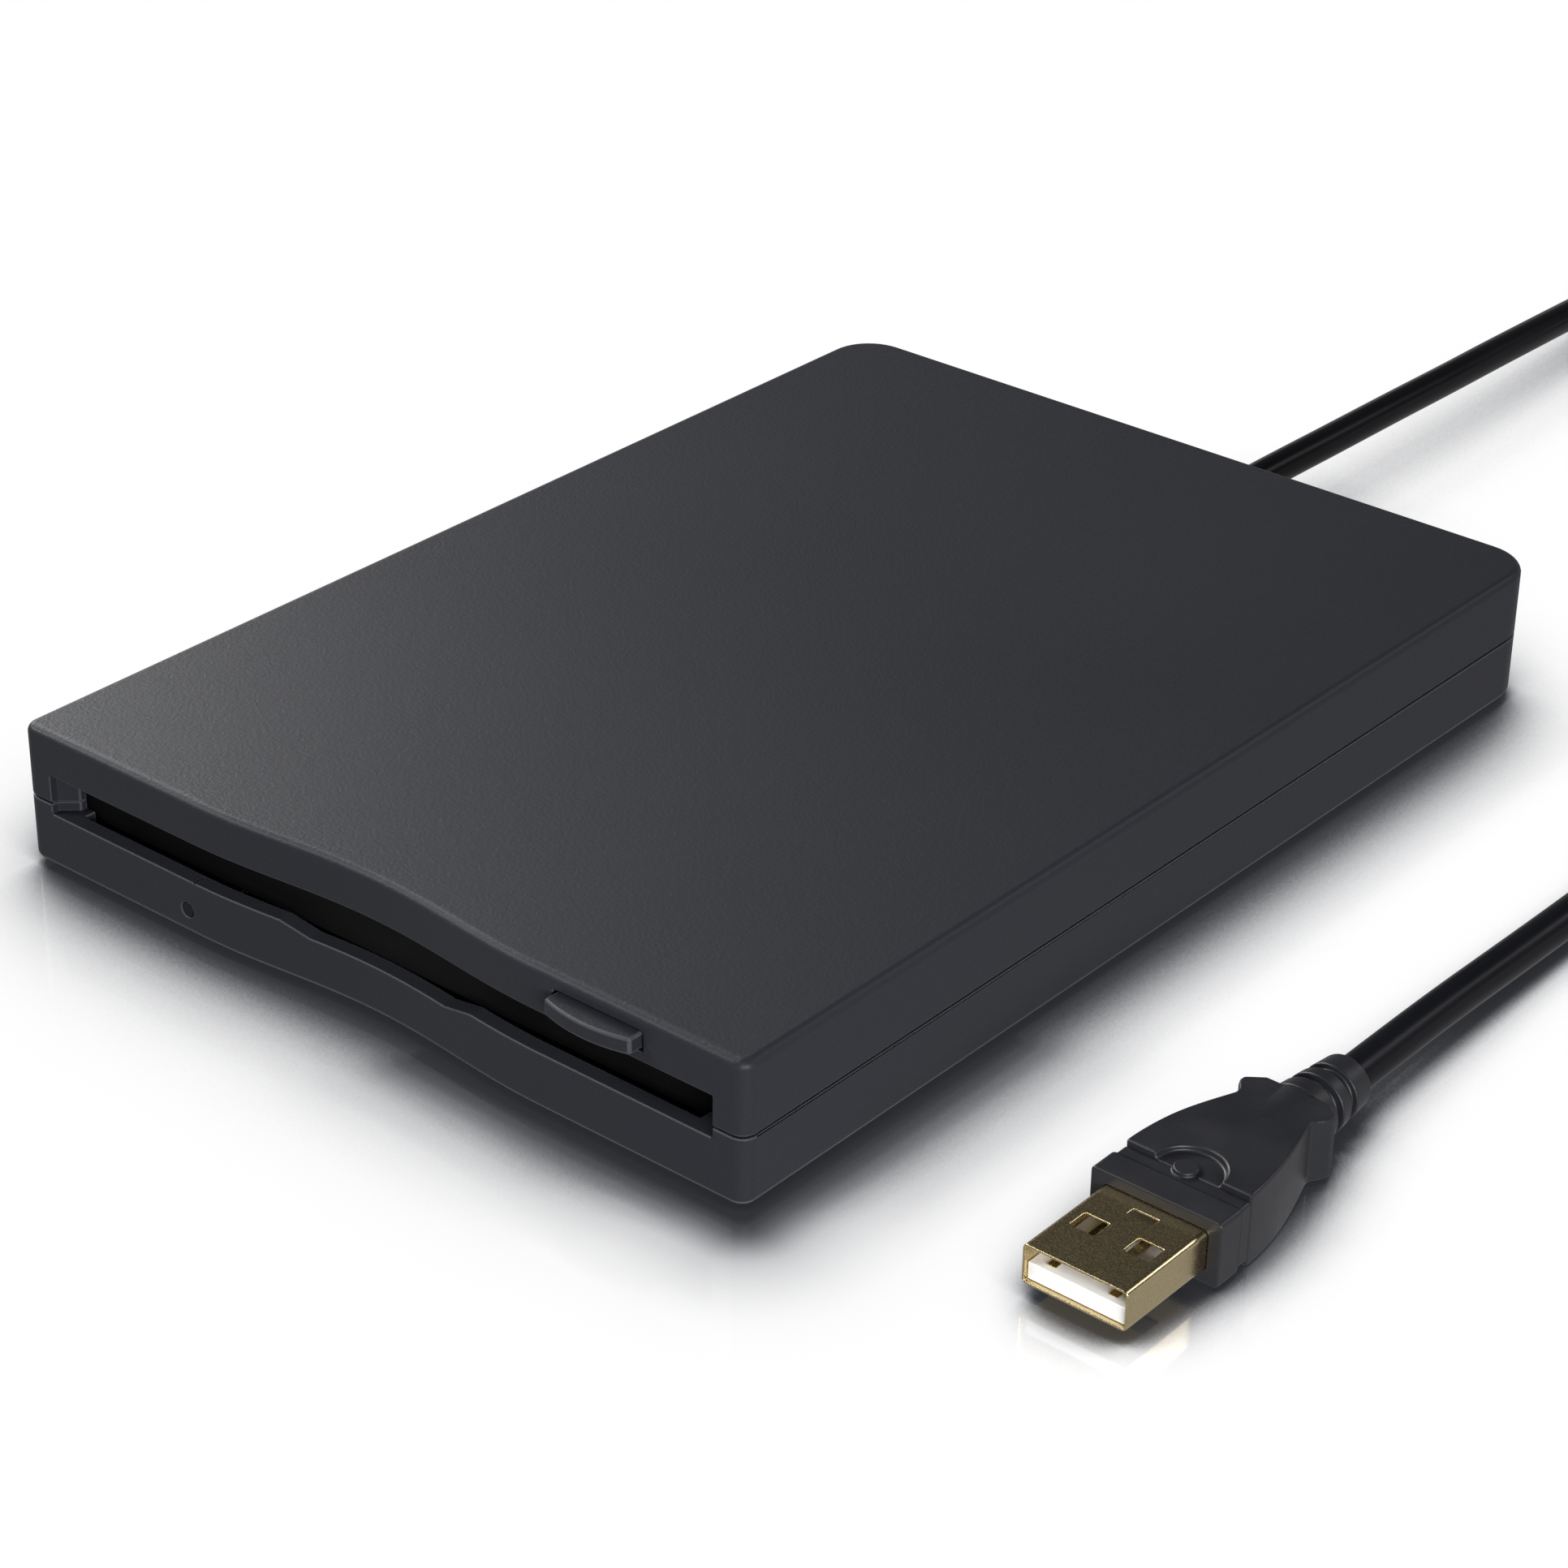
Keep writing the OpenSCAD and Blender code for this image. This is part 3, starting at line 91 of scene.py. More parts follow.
# the lamps light the object alone, so that the table keeps one even, soft shadow, which is painted
# into its glow
off_table = bpy.data.collections.new("not_lit_by_lamps")
off_table.objects.link(table)
off_table.collection_objects[0].light_linking.link_state = "EXCLUDE"
soft_lamp("left_softbox", (-1.05, 0.28, 0.62), (-0.05, -0.03, 0), 0.7, 0.5, 13.4)
soft_lamp("front_right_softbox", (0.37, -0.27, 0.10), (0.05, -0.07, 0), 0.25, 0.14, 2.05)
soft_lamp("front_left_softbox", (-0.56, -0.5, 0.65), (0, -0.04, 0), 0.34, 0.26, 5.0)
soft_lamp("rear_right_softbox", (0.5, 0.68, 0.56), (0.03, 0, 0), 0.36, 0.22, 1.3)

# the camera sees plain white, gloss sees walls that get darker upwards, and the rest is dim
world = bpy.data.worlds.new("white_room")
bpy.context.scene.world = world
world.use_nodes = True
tree = world.node_tree
tree.nodes.clear()
path = tree.nodes.new("ShaderNodeLightPath")
spot = tree.nodes.new("ShaderNodeTexCoord")
height = tree.nodes.new("ShaderNodeSeparateXYZ")
walls = tree.nodes.new("ShaderNodeMapRange")
walls.interpolation_type = "SMOOTHSTEP"
walls.inputs["From Min"].default_value = 0.02
walls.inputs["From Max"].default_value = 0.22
walls.inputs["To Min"].default_value = 0.8
walls.inputs["To Max"].default_value = 0.048
mirror = tree.nodes.new("ShaderNodeMath")
mirror.operation = "MAXIMUM"
seen = tree.nodes.new("ShaderNodeMix")
seen.inputs["A"].default_value = 0.12
level = tree.nodes.new("ShaderNodeMath")
level.operation = "MAXIMUM"
sky = tree.nodes.new("ShaderNodeBackground")
sky.inputs["Color"].default_value = (1, 1, 1, 1)
out = tree.nodes.new("ShaderNodeOutputWorld")
wire(tree,
     (spot.outputs["Generated"], height.inputs[0]),
     (height.outputs["Z"], walls.inputs["Value"]),
     (path.outputs["Is Glossy Ray"], mirror.inputs[0]),
     (path.outputs["Is Transmission Ray"], mirror.inputs[1]),
     (mirror.outputs[0], seen.inputs["Factor"]),
     (walls.outputs["Result"], seen.inputs["B"]),
     (seen.outputs["Result"], level.inputs[0]),
     (path.outputs["Is Camera Ray"], level.inputs[1]),
     (level.outputs[0], sky.inputs["Strength"]),
     (sky.outputs[0], out.inputs["Surface"]))

# the camera sees the table glow white with a painted shadow, darker close to the object as set by
# ambient occlusion, and with a faint mirror image; the object's own gloss sees it at 0.4 of that,
# and all other rays find plain white card
skin = bpy.data.materials.new("white_gloss_table")
skin.use_nodes = True
tree = skin.node_tree
tree.nodes.clear()
path = tree.nodes.new("ShaderNodeLightPath")
plain = tree.nodes.new("ShaderNodeBsdfDiffuse")
plain.inputs["Color"].default_value = (0.9, 0.9, 0.9, 1)
shade = tree.nodes.new("ShaderNodeAmbientOcclusion")
shade.samples = 16
spot = tree.nodes.new("ShaderNodeTexCoord")
axis = tree.nodes.new("ShaderNodeSeparateXYZ")
reach = tree.nodes.new("ShaderNodeMapRange")
reach.inputs["From Min"].default_value = 0.03
reach.inputs["From Max"].default_value = 0.08
reach.inputs["To Min"].default_value = 0.04
reach.inputs["To Max"].default_value = 0.012
# painted shadow: the glow is also darkened by distance from the case's footprint, so that
# round the near corner the shadow stays as wide as along the sides
centre, folded, outside, gap, how_far = [tree.nodes.new("ShaderNodeVectorMath") for _ in range(5)]
centre.operation = outside.operation = "SUBTRACT"
centre.inputs[1].default_value = (0.030, -0.0503, 0)
folded.operation = "ABSOLUTE"
outside.inputs[1].default_value = (0.0215, 0.021, 0)
gap.operation = "MAXIMUM"
gap.inputs[1].default_value = (0, 0, 0)
how_far.operation = "LENGTH"
scaled, fall, rise, painted_shadow_level = [tree.nodes.new("ShaderNodeMath") for _ in range(4)]
scaled.operation = "DIVIDE"
scaled.inputs[1].default_value = -0.0122
fall.operation = "EXPONENT"
rise.operation = "MULTIPLY_ADD"
rise.inputs[1].default_value = -0.5
rise.inputs[2].default_value = 1
painted_shadow_level.operation = "MINIMUM"
# painted shadow: the occlusion level becomes the glow's grey, a little bluer where darker
painted_shadow_ramp = tree.nodes.new("ShaderNodeValToRGB")
painted_shadow_ramp.color_ramp.interpolation = "B_SPLINE"
stops = painted_shadow_ramp.color_ramp.elements
stops[0].position = 0.52
stops[1].position = 0.88
for place, level in ((0.6, 0.09), (0.66, 0.28), (0.72, 0.6), (0.8, 0.78)):
    stops.new(place).color = (level, level ** 0.99, level ** 0.95, 1)
stops[0].color = (0.02, 0.0207, 0.024, 1)
glow = tree.nodes.new("ShaderNodeEmission")
gloss = tree.nodes.new("ShaderNodeBsdfAnisotropic")
gloss.inputs["Color"].default_value = (0.15, 0.15, 0.15, 1)
gloss.inputs["Roughness"].default_value = 0.1
both = tree.nodes.new("ShaderNodeAddShader")
bright = tree.nodes.new("ShaderNodeEmission")
bright.inputs["Strength"].default_value = 0.4
rest = tree.nodes.new("ShaderNodeMixShader")
whole = tree.nodes.new("ShaderNodeMixShader")
out = tree.nodes.new("ShaderNodeOutputMaterial")
wire(tree,
     (path.outputs["Is Glossy Ray"], rest.inputs["Fac"]),
     (plain.outputs[0], rest.inputs[1]),
     (bright.outputs[0], rest.inputs[2]),
     (spot.outputs["Object"], axis.inputs[0]),
     (axis.outputs["X"], reach.inputs["Value"]),
     (reach.outputs["Result"], shade.inputs["Distance"]),
     (spot.outputs["Object"], centre.inputs[0]),
     (centre.outputs["Vector"], folded.inputs[0]),
     (folded.outputs["Vector"], outside.inputs[0]),
     (outside.outputs["Vector"], gap.inputs[0]),
     (gap.outputs["Vector"], how_far.inputs[0]),
     (how_far.outputs["Value"], scaled.inputs[0]),
     (scaled.outputs[0], fall.inputs[0]),
     (fall.outputs[0], rise.inputs[0]),
     (rise.outputs[0], painted_shadow_level.inputs[0]),
     (shade.outputs["AO"], painted_shadow_level.inputs[1]),
     (painted_shadow_level.outputs[0], painted_shadow_ramp.inputs[0]),
     (painted_shadow_ramp.outputs[0], glow.inputs["Color"]),
     (glow.outputs[0], both.inputs[0]),
     (gloss.outputs[0], both.inputs[1]),
     (path.outputs["Is Camera Ray"], whole.inputs["Fac"]),
     (rest.outputs[0], whole.inputs[1]),
     (both.outputs[0], whole.inputs[2]),
     (whole.outputs[0], out.inputs["Surface"]))
table.data.materials.append(skin)


# ---------------------------------------------------------------------------
# Lower shell: half of the case, moulded in fine-grained charcoal ABS. It holds
# the lower half of the mouth with the thumb recess, and the lamp's hole.
# ---------------------------------------------------------------------------
def surface(name, colour, roughness, metallic=0.0, grain=0.0004, depth=0.00002, spread=0.12,
            patch=0.02, stretch=(1, 1, 1), specular=0.5, coat=0.0, uneven=0.06):
    """A material from object-space noise: grain in the bump, slow patches in colour and gloss."""
    skin = bpy.data.materials.new(name)
    skin.use_nodes = True
    tree = skin.node_tree
    shader = tree.nodes["Principled BSDF"]
    shader.inputs["Metallic"].default_value = metallic
    shader.inputs["Specular IOR Level"].default_value = specular
    shader.inputs["Coat Weight"].default_value = coat
    shader.inputs["Coat Roughness"].default_value = 0.1
    spot = tree.nodes.new("ShaderNodeTexCoord")
    turn = tree.nodes.new("ShaderNodeMapping")
    turn.inputs["Scale"].default_value = stretch
    fine = tree.nodes.new("ShaderNodeTexNoise")
    fine.inputs["Scale"].default_value = 1 / grain
    fine.inputs["Detail"].default_value = 3
    slow = tree.nodes.new("ShaderNodeTexNoise")
    slow.inputs["Scale"].default_value = 1 / patch
    slow.inputs["Detail"].default_value = 4
    bump = tree.nodes.new("ShaderNodeBump")
    bump.inputs["Distance"].default_value = depth
    bump.inputs["Strength"].default_value = 1
    tone = tree.nodes.new("ShaderNodeValToRGB")
    tone.color_ramp.elements[0].position = 0.25
    tone.color_ramp.elements[1].position = 0.75
    tone.color_ramp.elements[0].color = (*[c * (1 - spread) for c in colour], 1)
    tone.color_ramp.elements[1].color = (*[min(1, c * (1 + spread)) for c in colour], 1)
    mixed = tree.nodes.new("ShaderNodeMath")
    mixed.operation = "MULTIPLY_ADD"
    mixed.inputs[1].default_value = 0.5
    rub = tree.nodes.new("ShaderNodeMapRange")
    rub.inputs["From Min"].default_value = 0.3
    rub.inputs["From Max"].default_value = 0.7
    rub.inputs["To Min"].default_value = max(0.02, roughness - uneven)
    rub.inputs["To Max"].default_value = roughness + uneven
    half = tree.nodes.new("ShaderNodeMath")
    half.operation = "MULTIPLY"
    half.inputs[1].default_value = 0.5
    wire(tree,
         (spot.outputs["Object"], turn.inputs["Vector"]),
         (turn.outputs["Vector"], fine.inputs["Vector"]),
         (spot.outputs["Object"], slow.inputs["Vector"]),
         (fine.outputs["Fac"], bump.inputs["Height"]),
         (bump.outputs["Normal"], shader.inputs["Normal"]),
         (slow.outputs["Fac"], half.inputs[0]),
         (fine.outputs["Fac"], mixed.inputs[0]),
         (half.outputs[0], mixed.inputs[2]),
         (mixed.outputs[0], tone.inputs["Fac"]),
         (tone.outputs["Color"], shader.inputs["Base Color"]),
         (slow.outputs["Fac"], rub.inputs["Value"]),
         (rub.outputs["Result"], shader.inputs["Roughness"]))
    return skin


front_face = 71.3  # mm from the frame's middle to the front of the case


def depth_behind_front(x, y):
    """How far a point in plan lies inside the case's front outline, and the way inwards, in mm."""
    case_half, corner, wave_half, wave_depth = 51.5, 1.8, 24.5, 1.7
    straight = case_half - corner
    if abs(x) > straight and y < corner:
        away = math.hypot(abs(x) - straight, y - corner)
        return corner - away, math.copysign((abs(x) - straight) / away, -x), (corner - y) / away
    bend = math.pi / wave_half
    in_wave = abs(x) < wave_half
    front = wave_depth / 2 * (1 + math.cos(bend * x)) if in_wave else 0
    slope = -wave_depth / 2 * bend * math.sin(bend * x) if in_wave else 0
    length = math.hypot(1, slope)
    if (y - front) / length < case_half - abs(x):
        return (y - front) / length, -slope / length, 1 / length
    return case_half - abs(x), math.copysign(1, -x), 0


def close_to_front_edge(v, level, deep, high):
    """Whether a vertex is less than so many mm behind the front face, and above or below a height."""
    return v.co.y * 1000 < deep - front_face and abs(v.co.z * 1000 - level) < high


def round_front(bm, level, up):
    """Rolls the front edge at one height over a 1 mm radius, to match the moulded side edges."""
    cuts = [((0, 0, level - up * down), (0, 0, 1))
            for down in (0.1, 0.23, 0.33, 0.42, 0.58, 0.73, 0.87, 1)]
    cuts += [((0, 0.14 * i - front_face, 0), (0, 1, 0)) for i in range(1, 20)]
    cuts += [((side * (50.3 + 0.15 * i), 0, 0), (1, 0, 0)) for side in (-1, 1) for i in range(8)]
    for place, normal in cuts:
        near = [f for f in bm.faces if any(close_to_front_edge(v, level, 3, 1.3) for v in f.verts)]
        parts = {e for f in near for e in f.edges} | {v for f in near for v in f.verts} | set(near)
        bmesh.ops.bisect_plane(bm, geom=list(parts), dist=0.000002,
                               plane_co=[c / 1000 for c in place], plane_no=normal)
    moved = {}
    for v in bm.verts:
        x, y, z = v.co.x * 1000, v.co.y * 1000 + front_face, v.co.z * 1000
        if y < 4 and abs(z - level) < 1:
            depth, way_x, way_y = depth_behind_front(x, y)
            inward, upward = 1 - depth, 1 - abs(z - level)
            reach = math.hypot(inward, upward)
            if inward > 0 and reach > 1:
                move = 1 - inward / reach - depth
                moved[v] = Vector((x + way_x * move, y + way_y * move - front_face,
                                   level - up * (1 - upward / reach))) / 1000
    touched = {f for v in moved for f in v.link_faces if len(f.verts) > 3}
    bmesh.ops.triangulate(bm, faces=list(touched))
    for v, place in moved.items():
        v.co = place


def softened(node, name, body, skin, edge, front_edge=None):
    """A merged copy of a CAD node with its sharp edges rounded, shown in the node's place."""
    bm = bmesh.new()
    bm.from_mesh(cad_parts[node].data)
    bmesh.ops.remove_doubles(bm, verts=bm.verts, dist=0.000003)
    if front_edge:
        # the flat front is merged first, because bevelled slivers in it show as dark lines
        flat = [e for e in bm.edges if all(v.co.y * 1000 < 0.02 - front_face for v in e.verts)]
        bmesh.ops.dissolve_limit(bm, angle_limit=math.radians(0.2), verts=[], edges=flat)
        round_front(bm, *front_edge)
        bm.normal_update()
    sharp_turn, flat_turn, strip_turn = math.radians(25), math.radians(26), math.radians(34)
    sharp = [e for e in bm.edges if len(e.link_faces) == 2 and e.calc_face_angle() > sharp_turn
             and not (front_edge and all(close_to_front_edge(v, front_edge[0], 3.3, 1.02)
                                         for v in e.verts))]
    bmesh.ops.bevel(bm, geom=sharp, offset=edge, offset_type="OFFSET", segments=3, profile=0.5,
                    affect="EDGES", clamp_overlap=False, material=-1, miter_outer="ARC",
                    face_strength_mode="ALL")
    bm.normal_update()
    # faces keep their own normals, the rounded strips bend between them, and "edge" marks the strips
    # on outer edges, where the case's material paints a highlight
    weight = bm.faces.layers.int["__mod_weightednormals_faceweight"]
    highlight_strip = bm.faces.layers.float.new("edge")
    normals = []
    for face in bm.faces:
        face.smooth = True
        middle = face.calc_center_median()
        outward = sum((f.calc_center_median() - middle).dot(face.normal)
                      for e in face.edges for f in e.link_faces)
        face[highlight_strip] = 1 if face[weight] <= 0 and outward < 0 else 0
        limit = math.cos(flat_turn if face[weight] > 0 else strip_turn)
        for corner in face.loops:
            near = [f for f in corner.vert.link_faces if f.normal.dot(face.normal) > limit]
            near = [f for f in near if f[weight] > 0] or near
            normals.append(sum((f.normal * f.calc_area() for f in near), Vector()).normalized())
    mesh = bpy.data.meshes.new(name)
    bm.to_mesh(mesh)
    bm.free()
    mesh.normals_split_custom_set(normals)
    piece = bpy.data.objects.new(name, mesh)
    bpy.context.collection.objects.link(piece)
    mesh.materials.append(skin)
    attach(piece, body)
    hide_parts(node)
    return piece


def dress(skin, *nodes):
    """Puts a material on CAD nodes that are shown as they are."""
    for node in nodes:
        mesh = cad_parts[node].data
        mesh.materials.clear()
        mesh.materials.append(skin)


charcoal = surface("charcoal_case_plastic", (0.0205, 0.0214, 0.0272), 0.46, grain=0.00042,
                   depth=0.000034, spread=0.1, patch=0.05, specular=0.2, uneven=0.01)
# painted highlights: the strips on outer edges, and most of all the rounding just above the bottom,
# get a paler colour that stands in for thin edge highlights
tree = charcoal.node_tree
axis = tree.nodes.new("ShaderNodeSeparateXYZ")
band = tree.nodes.new("ShaderNodeMapRange")
band.inputs["From Min"].default_value = 0.0009
band.inputs["From Max"].default_value = 0.0019
# painted highlight along the rounding of the lowest edge, set by the height above the bottom
line = tree.nodes.new("ShaderNodeValToRGB")
for place, level in ((0.12, 1), (0.45, 1), (0.75, 0)):
    line.color_ramp.elements.new(place).color = (level, level, level, 1)
line.color_ramp.elements[0].color = line.color_ramp.elements[-1].color = (0, 0, 0, 1)
highlight_strip = tree.nodes.new("ShaderNodeAttribute")
highlight_strip.attribute_name = "edge"
painted_highlight_weight = tree.nodes.new("ShaderNodeMath")
painted_highlight_weight.operation = "MULTIPLY_ADD"
painted_highlight_weight.use_clamp = True
painted_highlight_weight.inputs[1].default_value = 0.45
# the paler colour of the painted edge highlights
painted_highlight_mix = tree.nodes.new("ShaderNodeMix")
painted_highlight_mix.data_type = "RGBA"
painted_highlight_mix.inputs["B"].default_value = (0.10, 0.102, 0.113, 1)
shader = tree.nodes["Principled BSDF"]
plain_tone = shader.inputs["Base Color"].links[0].from_socket
wire(tree,
     (next(n for n in tree.nodes if n.type == "TEX_COORD").outputs["Object"], axis.inputs[0]),
     (axis.outputs["Z"], band.inputs["Value"]),
     (band.outputs["Result"], line.inputs["Fac"]),
     (highlight_strip.outputs["Fac"], painted_highlight_weight.inputs[0]),
     (line.outputs["Color"], painted_highlight_weight.inputs[2]),
     (painted_highlight_weight.outputs[0], painted_highlight_mix.inputs["Factor"]),
     (plain_tone, painted_highlight_mix.inputs["A"]),
     (painted_highlight_mix.outputs["Result"], shader.inputs["Base Color"]))
softened("lower_shell", "case_bottom_half", "case", charcoal, 0.00016,
         front_edge=(0.9, -1))


# ---------------------------------------------------------------------------
# Feet and case screws: four black rubber pads stuck in shallow seats, and two
# zinc screws that draw the halves together from below.
# ---------------------------------------------------------------------------
dress(surface("foot_rubber", (0.022, 0.022, 0.023), 0.72, grain=0.0003, depth=0.00003, spread=0.2,
              patch=0.004, specular=0.3), "rubber_feet")
zinc = surface("dull_zinc", (0.36, 0.37, 0.39), 0.36, metallic=1, grain=0.0005, depth=0.000006,
               spread=0.1, patch=0.006)
dress(zinc, "case_screws", "eject_slider", "stepper_motor")


# ---------------------------------------------------------------------------
# Chassis, cover and disk holder: pressed from zinc-plated sheet, with the fine
# grain that rolling leaves along the sheet. Screws hold the chassis down.
# ---------------------------------------------------------------------------
sheet_steel = surface("rolled_zinc_sheet", (0.60, 0.61, 0.63), 0.3, metallic=1, grain=0.0012,
                      depth=0.000004, spread=0.07, patch=0.012, stretch=(6, 0.25, 6))
dress(sheet_steel, "chassis_frame", "drive_cover", "disk_holder")
bright = surface("bright_steel", (0.63, 0.64, 0.66), 0.18, metallic=1, grain=0.0004, depth=0.000003,
                 spread=0.06, patch=0.005)
dress(bright, "chassis_screws", "board_screws", "latch_post", "drive_pin", "follower_pin",
      "arm_pin", "guide_rods", "spindle_shaft")


# ---------------------------------------------------------------------------
# Springs: hard-drawn steel wire, coiled and left bright. They draw the slider
# forwards, swing the latch lever, press the upper head down and close the flap.
# ---------------------------------------------------------------------------
dress(surface("spring_wire", (0.52, 0.53, 0.55), 0.24, metallic=1, grain=0.0003, depth=0.000004,
              spread=0.12, patch=0.002), "slider_springs", "latch_spring", "arm_spring", "flap_spring")


# ---------------------------------------------------------------------------
# Spindle motor: board with a stator of steel plates, nine enamelled coils, a
# turned cup with a ring magnet, and the magnetic chuck that takes the disk's hub.
# ---------------------------------------------------------------------------
dress(surface("stator_plates", (0.22, 0.22, 0.23), 0.42, metallic=1, grain=0.0002, depth=0.00003,
              spread=0.25, patch=0.003, stretch=(0.2, 0.2, 3)), "motor_stator")
dress(surface("enamelled_wire", (0.55, 0.19, 0.07), 0.25, metallic=1, grain=0.00022, depth=0.00005,
              spread=0.35, patch=0.002, stretch=(0.3, 0.3, 2.5), coat=0.5), "motor_coils")
dress(surface("turned_steel", (0.58, 0.59, 0.60), 0.22, metallic=1, grain=0.0004, depth=0.000004,
              spread=0.08, patch=0.01), "motor_rotor")
dress(surface("sintered_magnet", (0.055, 0.05, 0.048), 0.55, grain=0.00025, depth=0.00002,
              spread=0.35, patch=0.002, specular=0.6), "rotor_magnet", "hub_chuck")
dress(surface("porous_bronze", (0.50, 0.30, 0.12), 0.4, metallic=1, grain=0.0002, depth=0.00002,
              spread=0.3, patch=0.002), "spindle_bearing")


# ---------------------------------------------------------------------------
# Heads and their drive: glass-filled black carriage, pale nylon arm and levers,
# and a steel lead screw with one helical groove of 3.75 mm lead.
# ---------------------------------------------------------------------------
black_moulding = surface("black_moulding", (0.018, 0.018, 0.019), 0.42, grain=0.0004, depth=0.00001,
                         spread=0.2, patch=0.008)
dress(black_moulding, "head_carriage", "track_zero_sensor")
dress(surface("natural_nylon", (0.62, 0.60, 0.53), 0.45, grain=0.0006, depth=0.000008, spread=0.06,
              patch=0.006), "latch_lever", "upper_head_arm", "screw_bearing", "protect_plunger",
      "density_plunger", "disk_plunger")
dress(surface("head_ceramic", (0.34, 0.33, 0.30), 0.16, grain=0.0003, depth=0.000003, spread=0.12,
              patch=0.001), "lower_head", "upper_head")
grooved = surface("lead_screw_steel", (0.60, 0.61, 0.62), 0.2, metallic=1, grain=0.0005,
                  depth=0.000004, spread=0.08, patch=0.004)
# the helix is the sine of the angle round the screw plus the way along it, cut off below
tree = grooved.node_tree
spot = next(n for n in tree.nodes if n.type == "TEX_COORD")
axis = tree.nodes.new("ShaderNodeSeparateXYZ")
off_x, off_z, angle, along, phase, groove, cut = [tree.nodes.new("ShaderNodeMath") for _ in range(7)]
off_x.operation = off_z.operation = "SUBTRACT"
off_x.inputs[1].default_value = 0.020
off_z.inputs[1].default_value = 0.0087
angle.operation = "ARCTAN2"
along.operation = "MULTIPLY"
along.inputs[1].default_value = 2 * math.pi / 0.00375
phase.operation = "ADD"
groove.operation = "SINE"
cut.operation = "SMOOTH_MIN"
cut.inputs[1].default_value = -0.5
cut.inputs[2].default_value = 0.3
thread = tree.nodes.new("ShaderNodeBump")
thread.inputs["Distance"].default_value = 0.0003
wire(tree,
     (spot.outputs["Object"], axis.inputs[0]),
     (axis.outputs["X"], off_x.inputs[0]),
     (axis.outputs["Z"], off_z.inputs[0]),
     (off_z.outputs[0], angle.inputs[0]),
     (off_x.outputs[0], angle.inputs[1]),
     (axis.outputs["Y"], along.inputs[0]),
     (angle.outputs[0], phase.inputs[0]),
     (along.outputs[0], phase.inputs[1]),
     (phase.outputs[0], groove.inputs[0]),
     (groove.outputs[0], cut.inputs[0]),
     (cut.outputs[0], thread.inputs["Height"]),
     (next(n for n in tree.nodes if n.type == "BUMP" and n != thread).outputs["Normal"],
      thread.inputs["Normal"]),
     (thread.outputs["Normal"], tree.nodes["Principled BSDF"].inputs["Normal"]))
dress(grooved, "lead_screw")


# ---------------------------------------------------------------------------
# Boards: green solder mask over etched copper tracks; black epoxy packages; a
# flat flexible ribbon between the boards, and the cable's four coloured cores.
# ---------------------------------------------------------------------------
mask = surface("green_solder_mask", (0.012, 0.095, 0.04), 0.28, grain=0.0005, depth=0.000004,
               spread=0.15, patch=0.01, coat=0.4)
tree = mask.node_tree
spot = next(n for n in tree.nodes if n.type == "TEX_COORD")
shader = tree.nodes["Principled BSDF"]
tracks = tree.nodes.new("ShaderNodeTexBrick")
tracks.inputs["Scale"].default_value = 1
tracks.inputs["Brick Width"].default_value = 0.0061
tracks.inputs["Row Height"].default_value = 0.0009
tracks.inputs["Mortar Size"].default_value = 0.00016
tracks.inputs["Color1"].default_value = (0.012, 0.10, 0.042, 1)
tracks.inputs["Color2"].default_value = (0.012, 0.075, 0.034, 1)
tracks.inputs["Mortar"].default_value = (0.03, 0.20, 0.075, 1)
wire(tree, (spot.outputs["Object"], tracks.inputs["Vector"]),
     (tracks.outputs["Color"], shader.inputs["Base Color"]))
dress(mask, "motor_board", "main_board", "switch_board", "usb_board")
dress(surface("epoxy_package", (0.015, 0.015, 0.016), 0.5, grain=0.00015, depth=0.000006,
              spread=0.3, patch=0.002), "board_chips", "usb_chips")


def striped(name, bands, start, end, roughness):
    """A plastic whose colour goes in bands from one x to another, in mm."""
    skin = surface(name, bands[0], roughness, grain=0.0004, depth=0.000004, spread=0.05, patch=0.01)
    tree = skin.node_tree
    spot = next(n for n in tree.nodes if n.type == "TEX_COORD")
    axis = tree.nodes.new("ShaderNodeSeparateXYZ")
    across = tree.nodes.new("ShaderNodeMapRange")
    across.inputs["From Min"].default_value = start / 1000
    across.inputs["From Max"].default_value = end / 1000
    colours = tree.nodes.new("ShaderNodeValToRGB")
    colours.color_ramp.interpolation = "CONSTANT"
    while len(colours.color_ramp.elements) < len(bands):
        colours.color_ramp.elements.new(0.5)
    for i, band in enumerate(bands):
        colours.color_ramp.elements[i].position = i / len(bands)
        colours.color_ramp.elements[i].color = (*band, 1)
    wire(tree,
         (spot.outputs["Object"], axis.inputs[0]),
         (axis.outputs["X"], across.inputs["Value"]),
         (across.outputs["Result"], colours.inputs["Fac"]),
         (colours.outputs["Color"], tree.nodes["Principled BSDF"].inputs["Base Color"]))
    return skin


low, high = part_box("ribbon_cable")
dress(striped("flat_ribbon", [(0.62, 0.62, 0.58), (0.42, 0.42, 0.40)] * 8, low[0] * 1000,
              high[0] * 1000, 0.4), "ribbon_cable")
low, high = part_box("cable_wires")
dress(striped("core_colours", [(0.42, 0.02, 0.02), (0.75, 0.75, 0.73), (0.03, 0.26, 0.06),
                               (0.02, 0.02, 0.02)], low[0] * 1000, high[0] * 1000, 0.35),
      "cable_wires")


# ---------------------------------------------------------------------------
# Upper shell: the other half of the case, same grained plastic. Its roof runs
# out over the mouth in one long wave; the button's notch is cut in its front.
# ---------------------------------------------------------------------------
softened("upper_shell", "case_top_half", "case", charcoal, 0.00016,
         front_edge=(17.5, 1))


